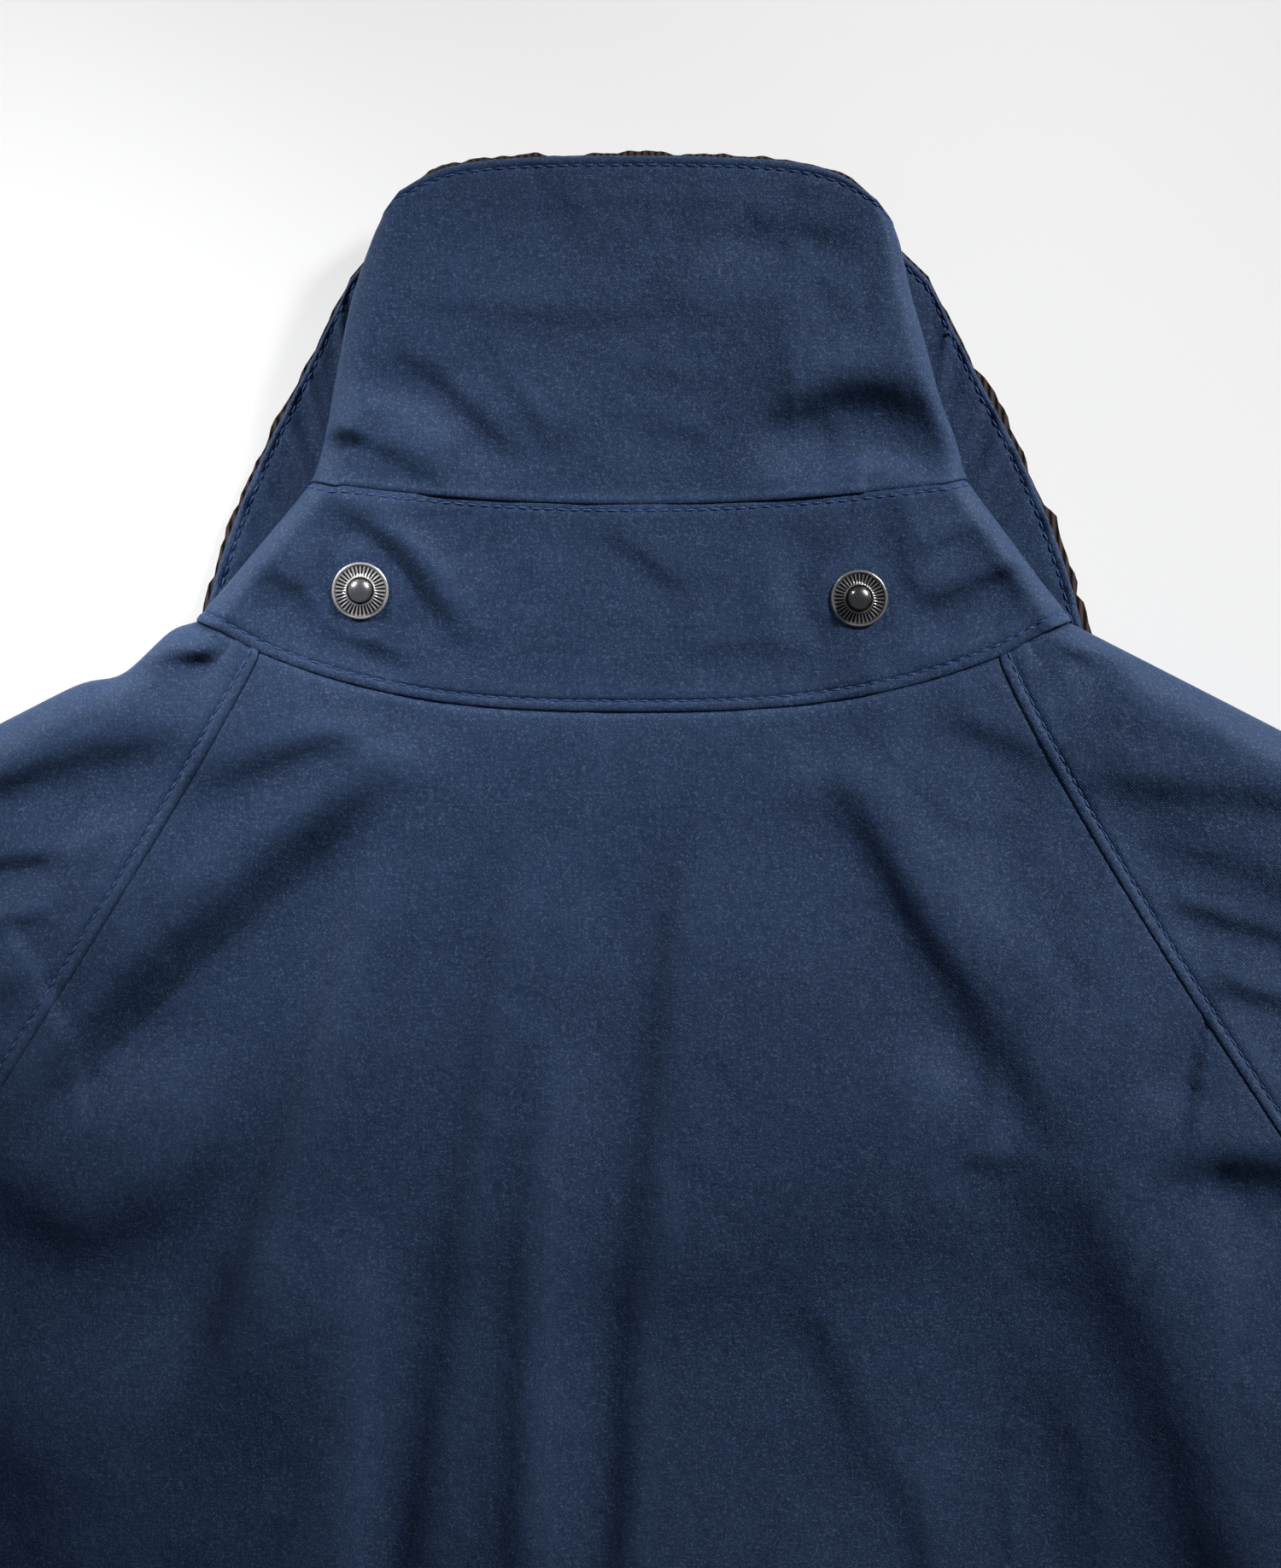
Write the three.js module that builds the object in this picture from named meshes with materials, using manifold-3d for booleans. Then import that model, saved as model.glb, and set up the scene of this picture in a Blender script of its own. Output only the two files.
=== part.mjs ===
// A waxed cotton jacket with raglan sleeves, laid face down: its back is up, its collar is raised behind
// the neck, and the collar's front ends are folded out flat under the shoulders.
// Millimetres, +Z up. The collar points to +Y, the hem to -Y, and the wearer's left side is -X.
import * as THREE from "three";
import { mergeVertices } from "three/addons/utils/BufferGeometryUtils.js";
import Module from "manifold-3d";

const wasm = await Module();
wasm.setup();

// Cloth thicknesses.
const CLOTH = 1.6; // waxed cotton with its turned seam allowances
const PLACKET = 3.0; // the doubled, interlined front edge that carries the press studs
const LEAF_CLOTH = 1.0;
const FACING_CLOTH = 1.4; // corduroy with its nap
const GAP = 0.4; // between pieces at a seam
const FACING_SHORT = 0.06; // how far the facing stops short of the stand, as a share of its first row

// The cut, in a plan frame whose origin is the middle of the back neck seam.
const NECK = { halfWidth: 102, rise: 21, power: 2.7 };
const STAND = { height: 48.5, rise: 5.5, halfWidth: 76 };
const ARMPIT = { x: 282, y: -290 };
const HEM = { halfWidth: 292, y: -755 };
const SLEEVE = {
  shoulderRun: 300,
  shoulderSlope: THREE.MathUtils.degToRad(27),
  bendRadius: 260,
  armSlope: THREE.MathUtils.degToRad(52),
  length: 780,
  cuffWidth: 150,
};
const RAGLAN = {
  left: { x: 88, y: 14.1, bow: 4 },
  right: { x: 86, y: 13.25, bow: 6 },
};
const FRONT_RAGLAN = { x: 92, y: -18, bow: 8 };
const COLLAR_TOP = 130.4;
const OVERLAP = 22; // how far each front passes the centre line

// Heights above the surface that the jacket lies on.
const PLATEAU = { neck: 20, hem: 17.5 };
const EDGE_HEIGHT = 9; // the seam at a flattened edge
const EDGE_ROLL = { top: 12, atNeck: 7.5, bottom: 7 };
const WING_LIFT = 3.5; // the fronts and sleeves lie over the collar's folded ends
const WING_ZONE = { y: -5, rx: 125, ry: 80, fade: 1.35 };
const COLLAR_HEIGHT = { seam: 18, edge: 14, middle: 6.8, wing: 2.7 };

// Press studs.
const STUD = { radius: 6.7, postRadius: 2.7, height: 3.6, rise: 0.3 };
const STUD_PLACES = [
  { name: "stud_left", x: -64, y: 28 },
  { name: "stud_right", x: 52.8, y: 26.2 },
];
const CAP = { radius: 7.5, thickness: 1.0, first: -130, pitch: 115, count: 6 };
const RECESS = { radius: 7.8, depth: 1.3 };

const NAVY = { color: 0x2b3d5c, roughness: 0.75, metalness: 0 };
const BROWN = { color: 0x3a2620, roughness: 0.95, metalness: 0 };
const METAL = { color: 0x8d8a86, roughness: 0.3, metalness: 1 };

// Large soft folds of the cloth. Each runs from (x0, y0) to (x1, y1), its middle moved sideways by bend;
// height is below zero for a trough, and width is the distance at which it has died away by two thirds.
const FOLD_COLUMNS = ["x0", "y0", "x1", "y1", "bend", "height", "width"];
const FOLDS = [
  [40, -8, 158, -300, 15, -5, 10],
  [-40, -8, -98, -150, -7, -3.2, 7],
  [-58, -22, -168, -108, 2, -4, 8],
  [-27, -14, -60, -340, 3, -2.6, 7],
  [9, -22, -6, -250, 1, -2.8, 7],
  [-33, -120, -26, -330, 0, -1.8, 6],
  [72, -2, 235, -34, 6, -4.4, 7],
  [-96, 2, -232, -44, 1, -4.2, 7],
  [-70, -9, -104, -19, 0, -2.6, 6],
  [-104, -104, -186, -128, 3, -5, 9],
  [110, -104, 196, -122, -3, -4.6, 7],
  [112, -27, 214, -78, 3, -3, 6],
  [-108, -26, -206, -66, -3, -2.4, 6],
  [-104, -82, -148, -98, 0, 2.2, 9],
  [112, -86, 150, -98, 0, 2.2, 9],
  [150, -330, 190, -720, 12, -4, 16],
  [-70, -380, -96, -735, -8, -3.6, 15],
  [30, -300, 44, -735, 6, -3.4, 14],
  [-180, -330, -200, -700, -8, -3.8, 16],
  [300, -170, 420, -330, 14, -4, 12],
  [330, -150, 470, -360, -8, -3, 10],
  [-290, -150, -410, -320, -14, -4, 12],
  [-340, -170, -480, -370, 8, -3, 10],
  [440, -400, 560, -420, 6, -3, 10],
  [-450, -390, -560, -425, -6, -3, 10],
  [470, -460, 600, -470, 4, -2.6, 9],
  [-480, -455, -596, -476, -4, -2.6, 9],
  [-66, 74, -24, 54, -4, 2.4, 7],
  [-58, 88, -28, 62, -3, -2.2, 7],
  [34, 66, 78, 67, -2, -3.6, 6],
  [-90, 35, -48, 6, -2, -2.2, 5],
  [-72, 44, -39, 15, -2, -2.2, 5],
  [60, 27, 90, 35, 0, -2.2, 5],
].map((row) => Object.fromEntries(FOLD_COLUMNS.map((key, i) => [key, row[i]])));

const clamp = THREE.MathUtils.clamp;
const lerp = THREE.MathUtils.lerp;
const ease = (t) => THREE.MathUtils.smoothstep(t, 0, 1);
const span = (from, to, count) =>
  Array.from({ length: count + 1 }, (_, i) => lerp(from, to, i / count));

// Plan curves, written for the wearer's right side, +X.

function neckY(x) {
  return NECK.rise * (Math.abs(x) / NECK.halfWidth) ** NECK.power;
}

function standSeamY(x) {
  return STAND.height + STAND.rise * (x / STAND.halfWidth) ** 2;
}

// The point at arc length s along the shoulder and over the arm.
function overarm(s) {
  const { shoulderRun, shoulderSlope, bendRadius, armSlope } = SLEEVE;
  const turned = clamp(
    shoulderSlope + (s - shoulderRun) / bendRadius,
    shoulderSlope,
    armSlope,
  );
  const straight = Math.min(s, shoulderRun);
  const bendLength = bendRadius * (armSlope - shoulderSlope);
  const rest = Math.max(0, s - shoulderRun - bendLength);
  return new THREE.Vector2(
    NECK.halfWidth +
      straight * Math.cos(shoulderSlope) +
      bendRadius * (Math.sin(turned) - Math.sin(shoulderSlope)) +
      rest * Math.cos(armSlope),
    NECK.rise -
      straight * Math.sin(shoulderSlope) -
      bendRadius * (Math.cos(shoulderSlope) - Math.cos(turned)) -
      rest * Math.sin(armSlope),
  );
}

const armpit = new THREE.Vector2(ARMPIT.x, ARMPIT.y);
const hemSide = new THREE.Vector2(HEM.halfWidth, HEM.y);
const cuffOuter = overarm(SLEEVE.length);
const cuffInner = cuffOuter
  .clone()
  .add(
    new THREE.Vector2(
      -Math.sin(SLEEVE.armSlope),
      -Math.cos(SLEEVE.armSlope),
    ).multiplyScalar(SLEEVE.cuffWidth),
  );

// A raglan seam's point at share v from the neck to the armpit, moved sideways by offset towards the sleeve.
function raglanPoint(start, v, offset = 0) {
  const from = new THREE.Vector2(start.x, start.y);
  const along = armpit.clone().sub(from);
  const across = new THREE.Vector2(-along.y, along.x).normalize();
  const bow = -start.bow * Math.sin(Math.PI * v ** 0.6);
  return from.addScaledVector(along, v).addScaledVector(across, bow + offset);
}

// Distance from a plan point to the nearest flattened edge: side, underarm or shoulder.
const edgeLines = [
  [armpit, hemSide],
  [armpit, cuffInner],
  span(0, SLEEVE.length, 26).map(overarm),
];

function segmentDistance(p, a, b) {
  const along = b.clone().sub(a);
  const t = clamp(p.clone().sub(a).dot(along) / along.lengthSq(), 0, 1);
  return p.distanceTo(a.clone().addScaledVector(along, t));
}

function edgeDistance(x, y) {
  const p = new THREE.Vector2(Math.abs(x), y);
  let nearest = Infinity;
  for (const line of edgeLines)
    for (let i = 1; i < line.length; i++)
      nearest = Math.min(nearest, segmentDistance(p, line[i - 1], line[i]));
  return nearest;
}

// Heights of the two layers of cloth.

function foldHeight(x, y) {
  let sum = 0;
  for (const { x0, y0, x1, y1, bend, height, width } of FOLDS) {
    const [ax, ay] = [x1 - x0, y1 - y0];
    const length = Math.hypot(ax, ay);
    const t = ((x - x0) * ax + (y - y0) * ay) / length ** 2;
    if (t < -0.2 || t > 1.2) continue;
    const inside = clamp(t, 0, 1);
    const off =
      ((y - y0) * ax - (x - x0) * ay) / length +
      bend * Math.sign(ay || 1) * 4 * inside * (1 - inside);
    const ends = ease((t + 0.1) / 0.3) * ease((1.1 - t) / 0.35);
    sum += height * Math.exp(-((off / width) ** 2)) * ends;
  }
  for (const stud of STUD_PLACES)
    sum *= 1 - Math.exp(-((Math.hypot(x - stud.x, y - stud.y) / 9) ** 2));
  return sum;
}

function wingLift(x, y) {
  const r = Math.hypot(x / WING_ZONE.rx, (y - WING_ZONE.y) / WING_ZONE.ry);
  return WING_LIFT * ease((WING_ZONE.fade - r) / (WING_ZONE.fade - 1));
}

function edgeHeight(x, y) {
  return EDGE_HEIGHT + 0.65 * wingLift(x, y);
}

function roundedShare(distance, radius) {
  const inward = 1 - clamp(distance / radius, 0, 1);
  return Math.sqrt(1 - inward * inward);
}

function topHeight(x, y) {
  const near = wingLift(x, y) / WING_LIFT;
  const radius = lerp(EDGE_ROLL.top, EDGE_ROLL.atNeck, near);
  const down = ease((y + 300) / (HEM.y + 300));
  const plateau = lerp(PLATEAU.neck, PLATEAU.hem, down) + foldHeight(x, y);
  const middle = edgeHeight(x, y);
  return (
    middle + (plateau - middle) * roundedShare(edgeDistance(x, y), radius)
  );
}

function bottomHeight(x, y) {
  const middle = edgeHeight(x, y);
  const share = roundedShare(edgeDistance(x, y), EDGE_ROLL.bottom);
  return middle - (middle - wingLift(x, y)) * share;
}

// The outward normal of a layer of cloth at a plan point; way is 1 for the top layer, -1 for the lower one.
function surfaceNormal(height, x, y, way) {
  const step = 0.5;
  const dx = (height(x + step, y) - height(x - step, y)) / (2 * step);
  const dy = (height(x, y + step) - height(x, y - step)) / (2 * step);
  return new THREE.Vector3(-dx, -dy, 1).normalize().multiplyScalar(way);
}

// Walls of cloth.

// The outward normal at each point of a grid of rows whose columns run with x and rows with the other way.
function gridNormals(grid) {
  return grid.map((row, i) =>
    row.map((point, j) => {
      const before = row[Math.max(j - 1, 0)];
      const after = row[Math.min(j + 1, row.length - 1)];
      const below = grid[Math.max(i - 1, 0)][j];
      const above = grid[Math.min(i + 1, grid.length - 1)][j];
      const along = after.clone().sub(before);
      const up = above.clone().sub(below);
      const normal = along.cross(up).normalize();
      return point.edgeNormal ? point.edgeNormal.clone() : normal;
    }),
  );
}

// A closed wall under a grid of outer points. thickness is a number or a function of an outer point.
function wallGeometry(grid, thickness) {
  const normals = gridNormals(grid);
  const rows = grid.length;
  const columns = grid[0].length;
  const depth = (p) =>
    typeof thickness === "function" ? thickness(p) : thickness;
  const outer = grid.flat();
  const inner = grid.flatMap((row, i) =>
    row.map((p, j) => p.clone().addScaledVector(normals[i][j], -depth(p))),
  );
  const positions = [...outer, ...inner].flatMap((p) => [p.x, p.y, p.z]);
  const at = (i, j, layer) => layer * rows * columns + i * columns + j;
  const index = [];
  const quad = (a, b, c, d) => index.push(a, b, c, a, c, d);
  for (let i = 0; i < rows - 1; i++)
    for (let j = 0; j < columns - 1; j++) {
      quad(at(i, j, 0), at(i, j + 1, 0), at(i + 1, j + 1, 0), at(i + 1, j, 0));
      quad(at(i, j, 1), at(i + 1, j, 1), at(i + 1, j + 1, 1), at(i, j + 1, 1));
    }
  for (let i = 0; i < rows - 1; i++) {
    quad(at(i, 0, 0), at(i + 1, 0, 0), at(i + 1, 0, 1), at(i, 0, 1));
    const last = columns - 1;
    quad(at(i, last, 0), at(i, last, 1), at(i + 1, last, 1), at(i + 1, last, 0));
  }
  for (let j = 0; j < columns - 1; j++) {
    quad(at(0, j, 0), at(0, j, 1), at(0, j + 1, 1), at(0, j + 1, 0));
    const last = rows - 1;
    quad(at(last, j, 0), at(last, j + 1, 0), at(last, j + 1, 1), at(last, j, 1));
  }
  const geometry = new THREE.BufferGeometry();
  geometry.setAttribute(
    "position",
    new THREE.Float32BufferAttribute(positions, 3),
  );
  geometry.setIndex(index);
  return geometry;
}

const mirrored = (p) => {
  const out = p.clone().setX(-p.x);
  if (p.edgeNormal) out.edgeNormal = p.edgeNormal.clone().setX(-p.edgeNormal.x);
  return out;
};

function turnedOver(grid) {
  return grid.map((row) => [...row].reverse());
}

// Shares of the raglan seam at which the back, fronts and sleeves have their rows.
const RAGLAN_ROWS = [0, 0.08, 0.17, 0.26, 0.35, 0.45, 0.56, 0.67, 0.78, 0.88, 0.96, 1];
const LOWER_ROWS = span(0, 1, 10).slice(1);
const SLEEVE_ROWS = span(0, 1, 8).slice(1);

const sideNormal = new THREE.Vector3(
  HEM.y - ARMPIT.y,
  ARMPIT.x - HEM.halfWidth,
  0,
)
  .normalize()
  .negate();

function cloth(x, y, height) {
  return new THREE.Vector3(x, y, height);
}

// A point of a layer of cloth, on the side of the body that side gives (1 right, -1 left). An open edge
// takes its normal from the layer itself, so that both pieces at a seam end alike.
function layerPoint(layer, side, x, y, openEdge) {
  const height = (px, py) => layer.height(side * px, py);
  const p = cloth(x, y, height(x, y));
  if (openEdge) p.edgeNormal = surfaceNormal(height, x, y, layer.way);
  return p;
}

const TOP = { height: topHeight, way: 1 };
const BOTTOM = { height: bottomHeight, way: -1 };

// Back: rows run down from the neck seam, columns across from the left edge to the right one.

// Column places from 0 at the left edge to 1 at the right, dense where the cloth rolls over an edge.
function backColumns(width) {
  const roll = Math.min(EDGE_ROLL.top, 0.06 * width) / width;
  const nearEdge = [0, 0.134 * roll, 0.5 * roll, roll];
  const middle = span(roll, 1 - roll, 26).slice(1, -1);
  return [...nearEdge, ...middle, ...nearEdge.map((u) => 1 - u).reverse()];
}

function backGrid() {
  const rows = RAGLAN_ROWS.map((v) => {
    const left = raglanPoint(RAGLAN.left, v, -GAP / 2);
    const right = raglanPoint(RAGLAN.right, v, -GAP / 2);
    left.x *= -1;
    const curve = (x) => (1 - v) * neckY((x * RAGLAN.right.x) / right.x);
    return { left, right, curve, onSide: v === 1 };
  });
  for (const w of LOWER_ROWS) {
    const x = lerp(ARMPIT.x, HEM.halfWidth, w);
    const y = lerp(ARMPIT.y, HEM.y, w);
    rows.push({
      left: new THREE.Vector2(-x, y),
      right: new THREE.Vector2(x, y),
      curve: () => 0,
      onSide: true,
    });
  }
  return rows.map(({ left, right, curve, onSide }) =>
    backColumns(right.x - left.x).map((u) => {
      const x = lerp(left.x, right.x, u);
      const ends = lerp(curve(left.x), curve(right.x), u);
      const y = lerp(left.y, right.y, u) + curve(x) - ends - GAP / 2;
      if (onSide && (u === 0 || u === 1)) {
        const p = cloth(x, y, edgeHeight(x, y) + GAP / 2);
        p.edgeNormal = sideNormal.clone();
        if (u === 0) p.edgeNormal.setX(-p.edgeNormal.x);
        return p;
      }
      return layerPoint(TOP, 1, x, y, u === 0 || u === 1);
    }),
  );
}

// Sleeve: rows run from the neck to the cuff. Columns start at the back raglan or underarm seam, go over the
// top layer to the shoulder edge, and come back under it to the front raglan or underarm seam.

const armpitLength = (() => {
  let best = 0;
  for (let s = 0; s < SLEEVE.length; s += 1)
    if (overarm(s).distanceTo(armpit) < overarm(best).distanceTo(armpit))
      best = s;
  return best;
})();

const underarmNormal = (() => {
  const along = cuffInner.clone().sub(armpit).normalize();
  return new THREE.Vector3(along.y, -along.x, 0);
})();

function sleeveColumns(length, roll) {
  const near = Math.min(roll, 0.3 * length) / length;
  return { near, inner: [0, 0.2 * near, near], outer: [near, 0.5 * near, 0.134 * near] };
}

function sleeveRing(side, seamTop, seamBottom, outer, closed) {
  const top = sleeveColumns(seamTop.distanceTo(outer), EDGE_ROLL.top);
  const bottom = sleeveColumns(seamBottom.distanceTo(outer), EDGE_ROLL.bottom);
  const topShares = [
    ...top.inner,
    ...span(top.near, 1 - top.near, 6).slice(1, -1),
    ...top.outer.map((u) => 1 - u),
    1,
  ];
  const bottomShares = [
    ...[0.3 * bottom.near, bottom.near].map((u) => 1 - u),
    ...span(1 - bottom.near, bottom.near, 4).slice(1, -1),
    ...[...bottom.inner].reverse(),
  ];
  const place = (seam, share) => seam.clone().lerp(outer, share);
  const seamPoint = (seam, way) => {
    const p = cloth(seam.x, seam.y, edgeHeight(seam.x, seam.y) + (way * GAP) / 2);
    p.edgeNormal = underarmNormal.clone();
    return p;
  };
  const ring = [
    ...topShares.map((share) => {
      const { x, y } = place(seamTop, share);
      return share === 0 && closed
        ? seamPoint(seamTop, 1)
        : layerPoint(TOP, side, x, y, share === 0);
    }),
    ...bottomShares.map((share) => {
      const { x, y } = place(seamBottom, share);
      return share === 0 && closed
        ? seamPoint(seamBottom, -1)
        : layerPoint(BOTTOM, side, x, y, share === 0);
    }),
  ];
  return ring;
}

function sleeveGrid(raglan, side) {
  const rows = RAGLAN_ROWS.map((v) => {
    const away = new THREE.Vector2(0.45, -0.9).multiplyScalar(
      v === 0 ? GAP : 0,
    );
    return sleeveRing(
      side,
      raglanPoint(raglan, v, GAP / 2).add(away),
      raglanPoint(FRONT_RAGLAN, v, GAP / 2).add(away),
      overarm(armpitLength * v).add(away),
      v === 1,
    );
  });
  for (const w of SLEEVE_ROWS) {
    const seam = armpit.clone().lerp(cuffInner, w);
    const outer = overarm(lerp(armpitLength, SLEEVE.length, w));
    rows.push(sleeveRing(side, seam, seam, outer, true));
  }
  return rows;
}

// Fronts, under the garment with their outer face down. Columns run from the side to the front edge.

const frontNeck = new THREE.SplineCurve([
  new THREE.Vector2(FRONT_RAGLAN.x, FRONT_RAGLAN.y),
  new THREE.Vector2(81, -35),
  new THREE.Vector2(60, -54),
  new THREE.Vector2(36, -68),
  new THREE.Vector2(0, -76),
  new THREE.Vector2(-OVERLAP, -77),
]);

// How far the right front is raised to lie on the left one's placket.
function overlapLift(x) {
  const clear = OVERLAP + 1;
  return (PLACKET + 0.7) * ease((clear + 16 - x) / 16);
}

const frontNeckPoints = span(0, 1, 60).map((t) => frontNeck.getPoint(t));

function frontNeckY(x) {
  const i = frontNeckPoints.findIndex((p) => p.x <= x);
  if (i < 0) return frontNeckPoints.at(-1).y;
  if (i === 0) return frontNeckPoints[0].y;
  const [a, b] = [frontNeckPoints[i - 1], frontNeckPoints[i]];
  return lerp(a.y, b.y, (a.x - x) / (a.x - b.x));
}

function frontGrid(lift, columns) {
  const rows = RAGLAN_ROWS.map((v) => ({
    side: raglanPoint(FRONT_RAGLAN, v, -GAP / 2),
    neck: 1 - v,
    onSide: v === 1,
  }));
  for (const w of LOWER_ROWS)
    rows.push({
      side: armpit.clone().lerp(hemSide, w),
      neck: 0,
      onSide: true,
    });
  return rows.map(({ side, neck, onSide }) => {
    const width = side.x - columns.at(-1);
    const roll = Math.min(EDGE_ROLL.bottom, 0.1 * width);
    const fixed = columns.filter((x) => x < side.x - roll - 4);
    const first = fixed[0];
    const xs = [
      side.x,
      side.x - 0.2 * roll,
      side.x - roll,
      ...span(side.x - roll, first, 4).slice(1, -1),
      ...fixed,
    ];
    return xs.map((x, j) => {
      const scaled = (x * FRONT_RAGLAN.x) / side.x;
      const fall = frontNeckY(x < 0 ? x : scaled) - FRONT_RAGLAN.y;
      const y = side.y + neck * fall - (neck === 1 ? GAP : 0);
      if (onSide && j === 0) {
        const p = cloth(x, y, edgeHeight(x, y) - GAP / 2);
        p.edgeNormal = sideNormal.clone();
        return p;
      }
      const p = layerPoint(BOTTOM, 1, x, y, j === 0);
      p.z += lift(x);
      return p;
    });
  });
}

// Collar. Each column below is a function of t, the share of the way from the stand seam to the free edge.

const collarTop = (t) => lerp(COLLAR_HEIGHT.seam, COLLAR_HEIGHT.edge, t);

// The fold at the side of the raised collar, seen from behind, and the hidden fold back under it.
const sideFold = {
  seam: new THREE.Vector2(77, 54),
  edge: new THREE.Vector2(59, 119),
  bow: 2.5,
};
const hiddenFold = {
  seam: new THREE.Vector2(61, 46),
  edge: new THREE.Vector2(51.5, 118),
};

function foldLine({ seam, edge, bow = 0 }, t) {
  const p = seam.clone().lerp(edge, t);
  p.x += bow * 4 * t * (1 - t);
  return p;
}

// A turn of the sheet about a fold line: angle 90 is its upper side, 0 its outermost line, -90 its lower side.
// corner lifts the upper side's end towards the leaf's top edge.
function turn(line, t, high, low, angle, way, corner = 0) {
  const along = line.edge.clone().sub(line.seam).normalize();
  const out = new THREE.Vector2(along.y, -along.x).multiplyScalar(way);
  const radius = (high - low) / 2;
  const a = THREE.MathUtils.degToRad(angle);
  const p = foldLine(line, t).addScaledVector(
    out,
    -radius * (1 - Math.cos(a)),
  );
  const rise = (corner * t ** 4 * (1 + Math.sin(a))) / 2;
  return cloth(p.x, p.y + rise, (high + low) / 2 + radius * Math.sin(a));
}

// The leaf's free edge behind the neck, and where the columns of the leaf and the stand meet at their seam.
const SEAM_REACH = { stand: 68, edge: 51.5, columns: 7 };

function collarTopY(x) {
  const u = Math.abs(x) / 57.4;
  return COLLAR_TOP - 2.5 * u ** 2 - 8.9 * u ** 7;
}

// The folded end of the leaf: its columns go from the stand's front edge (bx, by) to the free edge (ex, ey).
const LEAF_WING = [
  { bx: 65, by: 38, ex: 67, ey: 103 },
  { bx: 65, by: 28, ex: 77, ey: 83 },
  { bx: 63, by: 17, ex: 87, ey: 63 },
  { bx: 59, by: 4, ex: 96, ey: 43 },
  { bx: 52, by: -8, ex: 103, ey: 20 },
  { bx: 41, by: -20, ex: 108, ey: -8 },
  { bx: 28, by: -30, ex: 104, ey: -44 },
];

function leafColumns(side) {
  const { middle, wing } = COLLAR_HEIGHT;
  const back = span(0, 1, SEAM_REACH.columns).map((u) => (t) => {
    const seam = SEAM_REACH.stand * u;
    const edge = SEAM_REACH.edge * u;
    const px = lerp(seam, edge, t);
    const py = lerp(standSeamY(seam) + 0.9 * GAP, collarTopY(edge), t);
    return cloth(px, py, collarTop(t) + foldHeight(side * px, py));
  });
  const sideTurn = [90, 45, 0, -45, -90].map(
    (angle) => (t) => turn(sideFold, t, collarTop(t), middle, angle, 1, 4),
  );
  const hiddenTurn = [90, 0, -90].map(
    (angle) => (t) => turn(hiddenFold, t, middle, wing, angle, -1),
  );
  const wingColumns = LEAF_WING.map(({ bx, by, ex, ey }) => (t) => {
    return cloth(lerp(bx, ex, t), lerp(by, ey, t), wing);
  });
  return [...back, ...sideTurn, ...hiddenTurn, ...wingColumns];
}

function leafGrid(shares) {
  const [left, right] = [leafColumns(-1), leafColumns(1)];
  return shares.map((t) => [
    ...left.slice(1).map((column) => mirrored(column(t))).reverse(),
    ...right.map((column) => column(t)),
  ]);
}

// The height of the cloth under a stud, where the stand is flat.
function studSurface({ x, y }) {
  const [low, high] = [neckY(x), standSeamY(x)];
  return lerp(topHeight(x, low), COLLAR_HEIGHT.seam, (y - low) / (high - low));
}

// The stand runs round the neck between the neck seam and the leaf. Its front ends have these columns, from
// x on the front neckline to (tx, ty) on the stand's upper edge.
const STAND_FRONT = [
  { x: 86, tx: 55, ty: 6 },
  { x: 76, tx: 48, ty: -7 },
  { x: 62, tx: 39, ty: -17 },
  { x: 42, tx: 26, ty: -28 },
];

function standGrid(sleeves) {
  const half = (name, side) => {
    const raglan = RAGLAN[name];
    const ring = sleeves[name][0];
    const shares = span(0, 1, SEAM_REACH.columns).slice(0, -1);
    const base = shares.map((u) => {
      const x = raglan.x * u;
      return layerPoint(TOP, side, x, neckY(x) + GAP, true);
    });
    const seamPoint = (x) => {
      const y = standSeamY(x) - GAP / 2;
      return cloth(x, y, COLLAR_HEIGHT.seam + foldHeight(side * x, y));
    };
    const top = shares.map((u) => seamPoint(SEAM_REACH.stand * u));
    const away = new THREE.Vector3(-0.45, 0.9, 0).multiplyScalar(2 * GAP);
    const outermost = ring.findIndex((p) => p === ring.rollPoint);
    ring.forEach((p, j) => {
      base.push(p.clone().add(away));
      const { seam, middle } = COLLAR_HEIGHT;
      const low = new THREE.Vector3(0, -GAP, 0);
      if (j <= outermost - 3) {
        const end = turn(sideFold, 0, seam, middle, 90, 1).add(low);
        top.push(seamPoint(SEAM_REACH.stand).lerp(end, j / (outermost - 3)));
      } else if (j <= outermost + 2) {
        const angle = [60, 30, 0, -45, -90][j - outermost + 2];
        top.push(turn(sideFold, 0, seam, middle, angle, 1).add(low));
      } else {
        const start = turn(sideFold, 0, seam, middle, -90, 1);
        const end = cloth(56, 18, middle);
        const t = (j - outermost - 2) / (ring.length - 1 - outermost - 2);
        top.push(start.lerp(end, t).add(low));
      }
    });
    for (const { x, tx, ty } of STAND_FRONT) {
      base.push(layerPoint(BOTTOM, side, x, frontNeckY(x) + 1.8 * GAP, true));
      top.push(cloth(tx, ty, COLLAR_HEIGHT.middle));
    }
    return { base, top };
  };
  const left = half("left", -1);
  const right = half("right", 1);
  const line = (key) => [
    ...left[key].slice(1).map(mirrored).reverse(),
    ...right[key],
  ];
  const [base, top] = [line("base"), line("top")];
  return span(0, 1, 4).map((t) =>
    base.map((p, j) => {
      const q = p.clone().lerp(top[j], t);
      const foldAtEnds = lerp(foldHeight(p.x, p.y), foldHeight(top[j].x, top[j].y), t);
      if (q.z < EDGE_HEIGHT + 4) return q;
      q.z += foldHeight(q.x, q.y) - foldAtEnds;
      for (const stud of STUD_PLACES) {
        const r = Math.hypot(q.x - stud.x, q.y - stud.y);
        q.z = lerp(q.z, studSurface(stud), ease((20 - r) / 7));
      }
      return q;
    }),
  );
}

// Metal.

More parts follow.
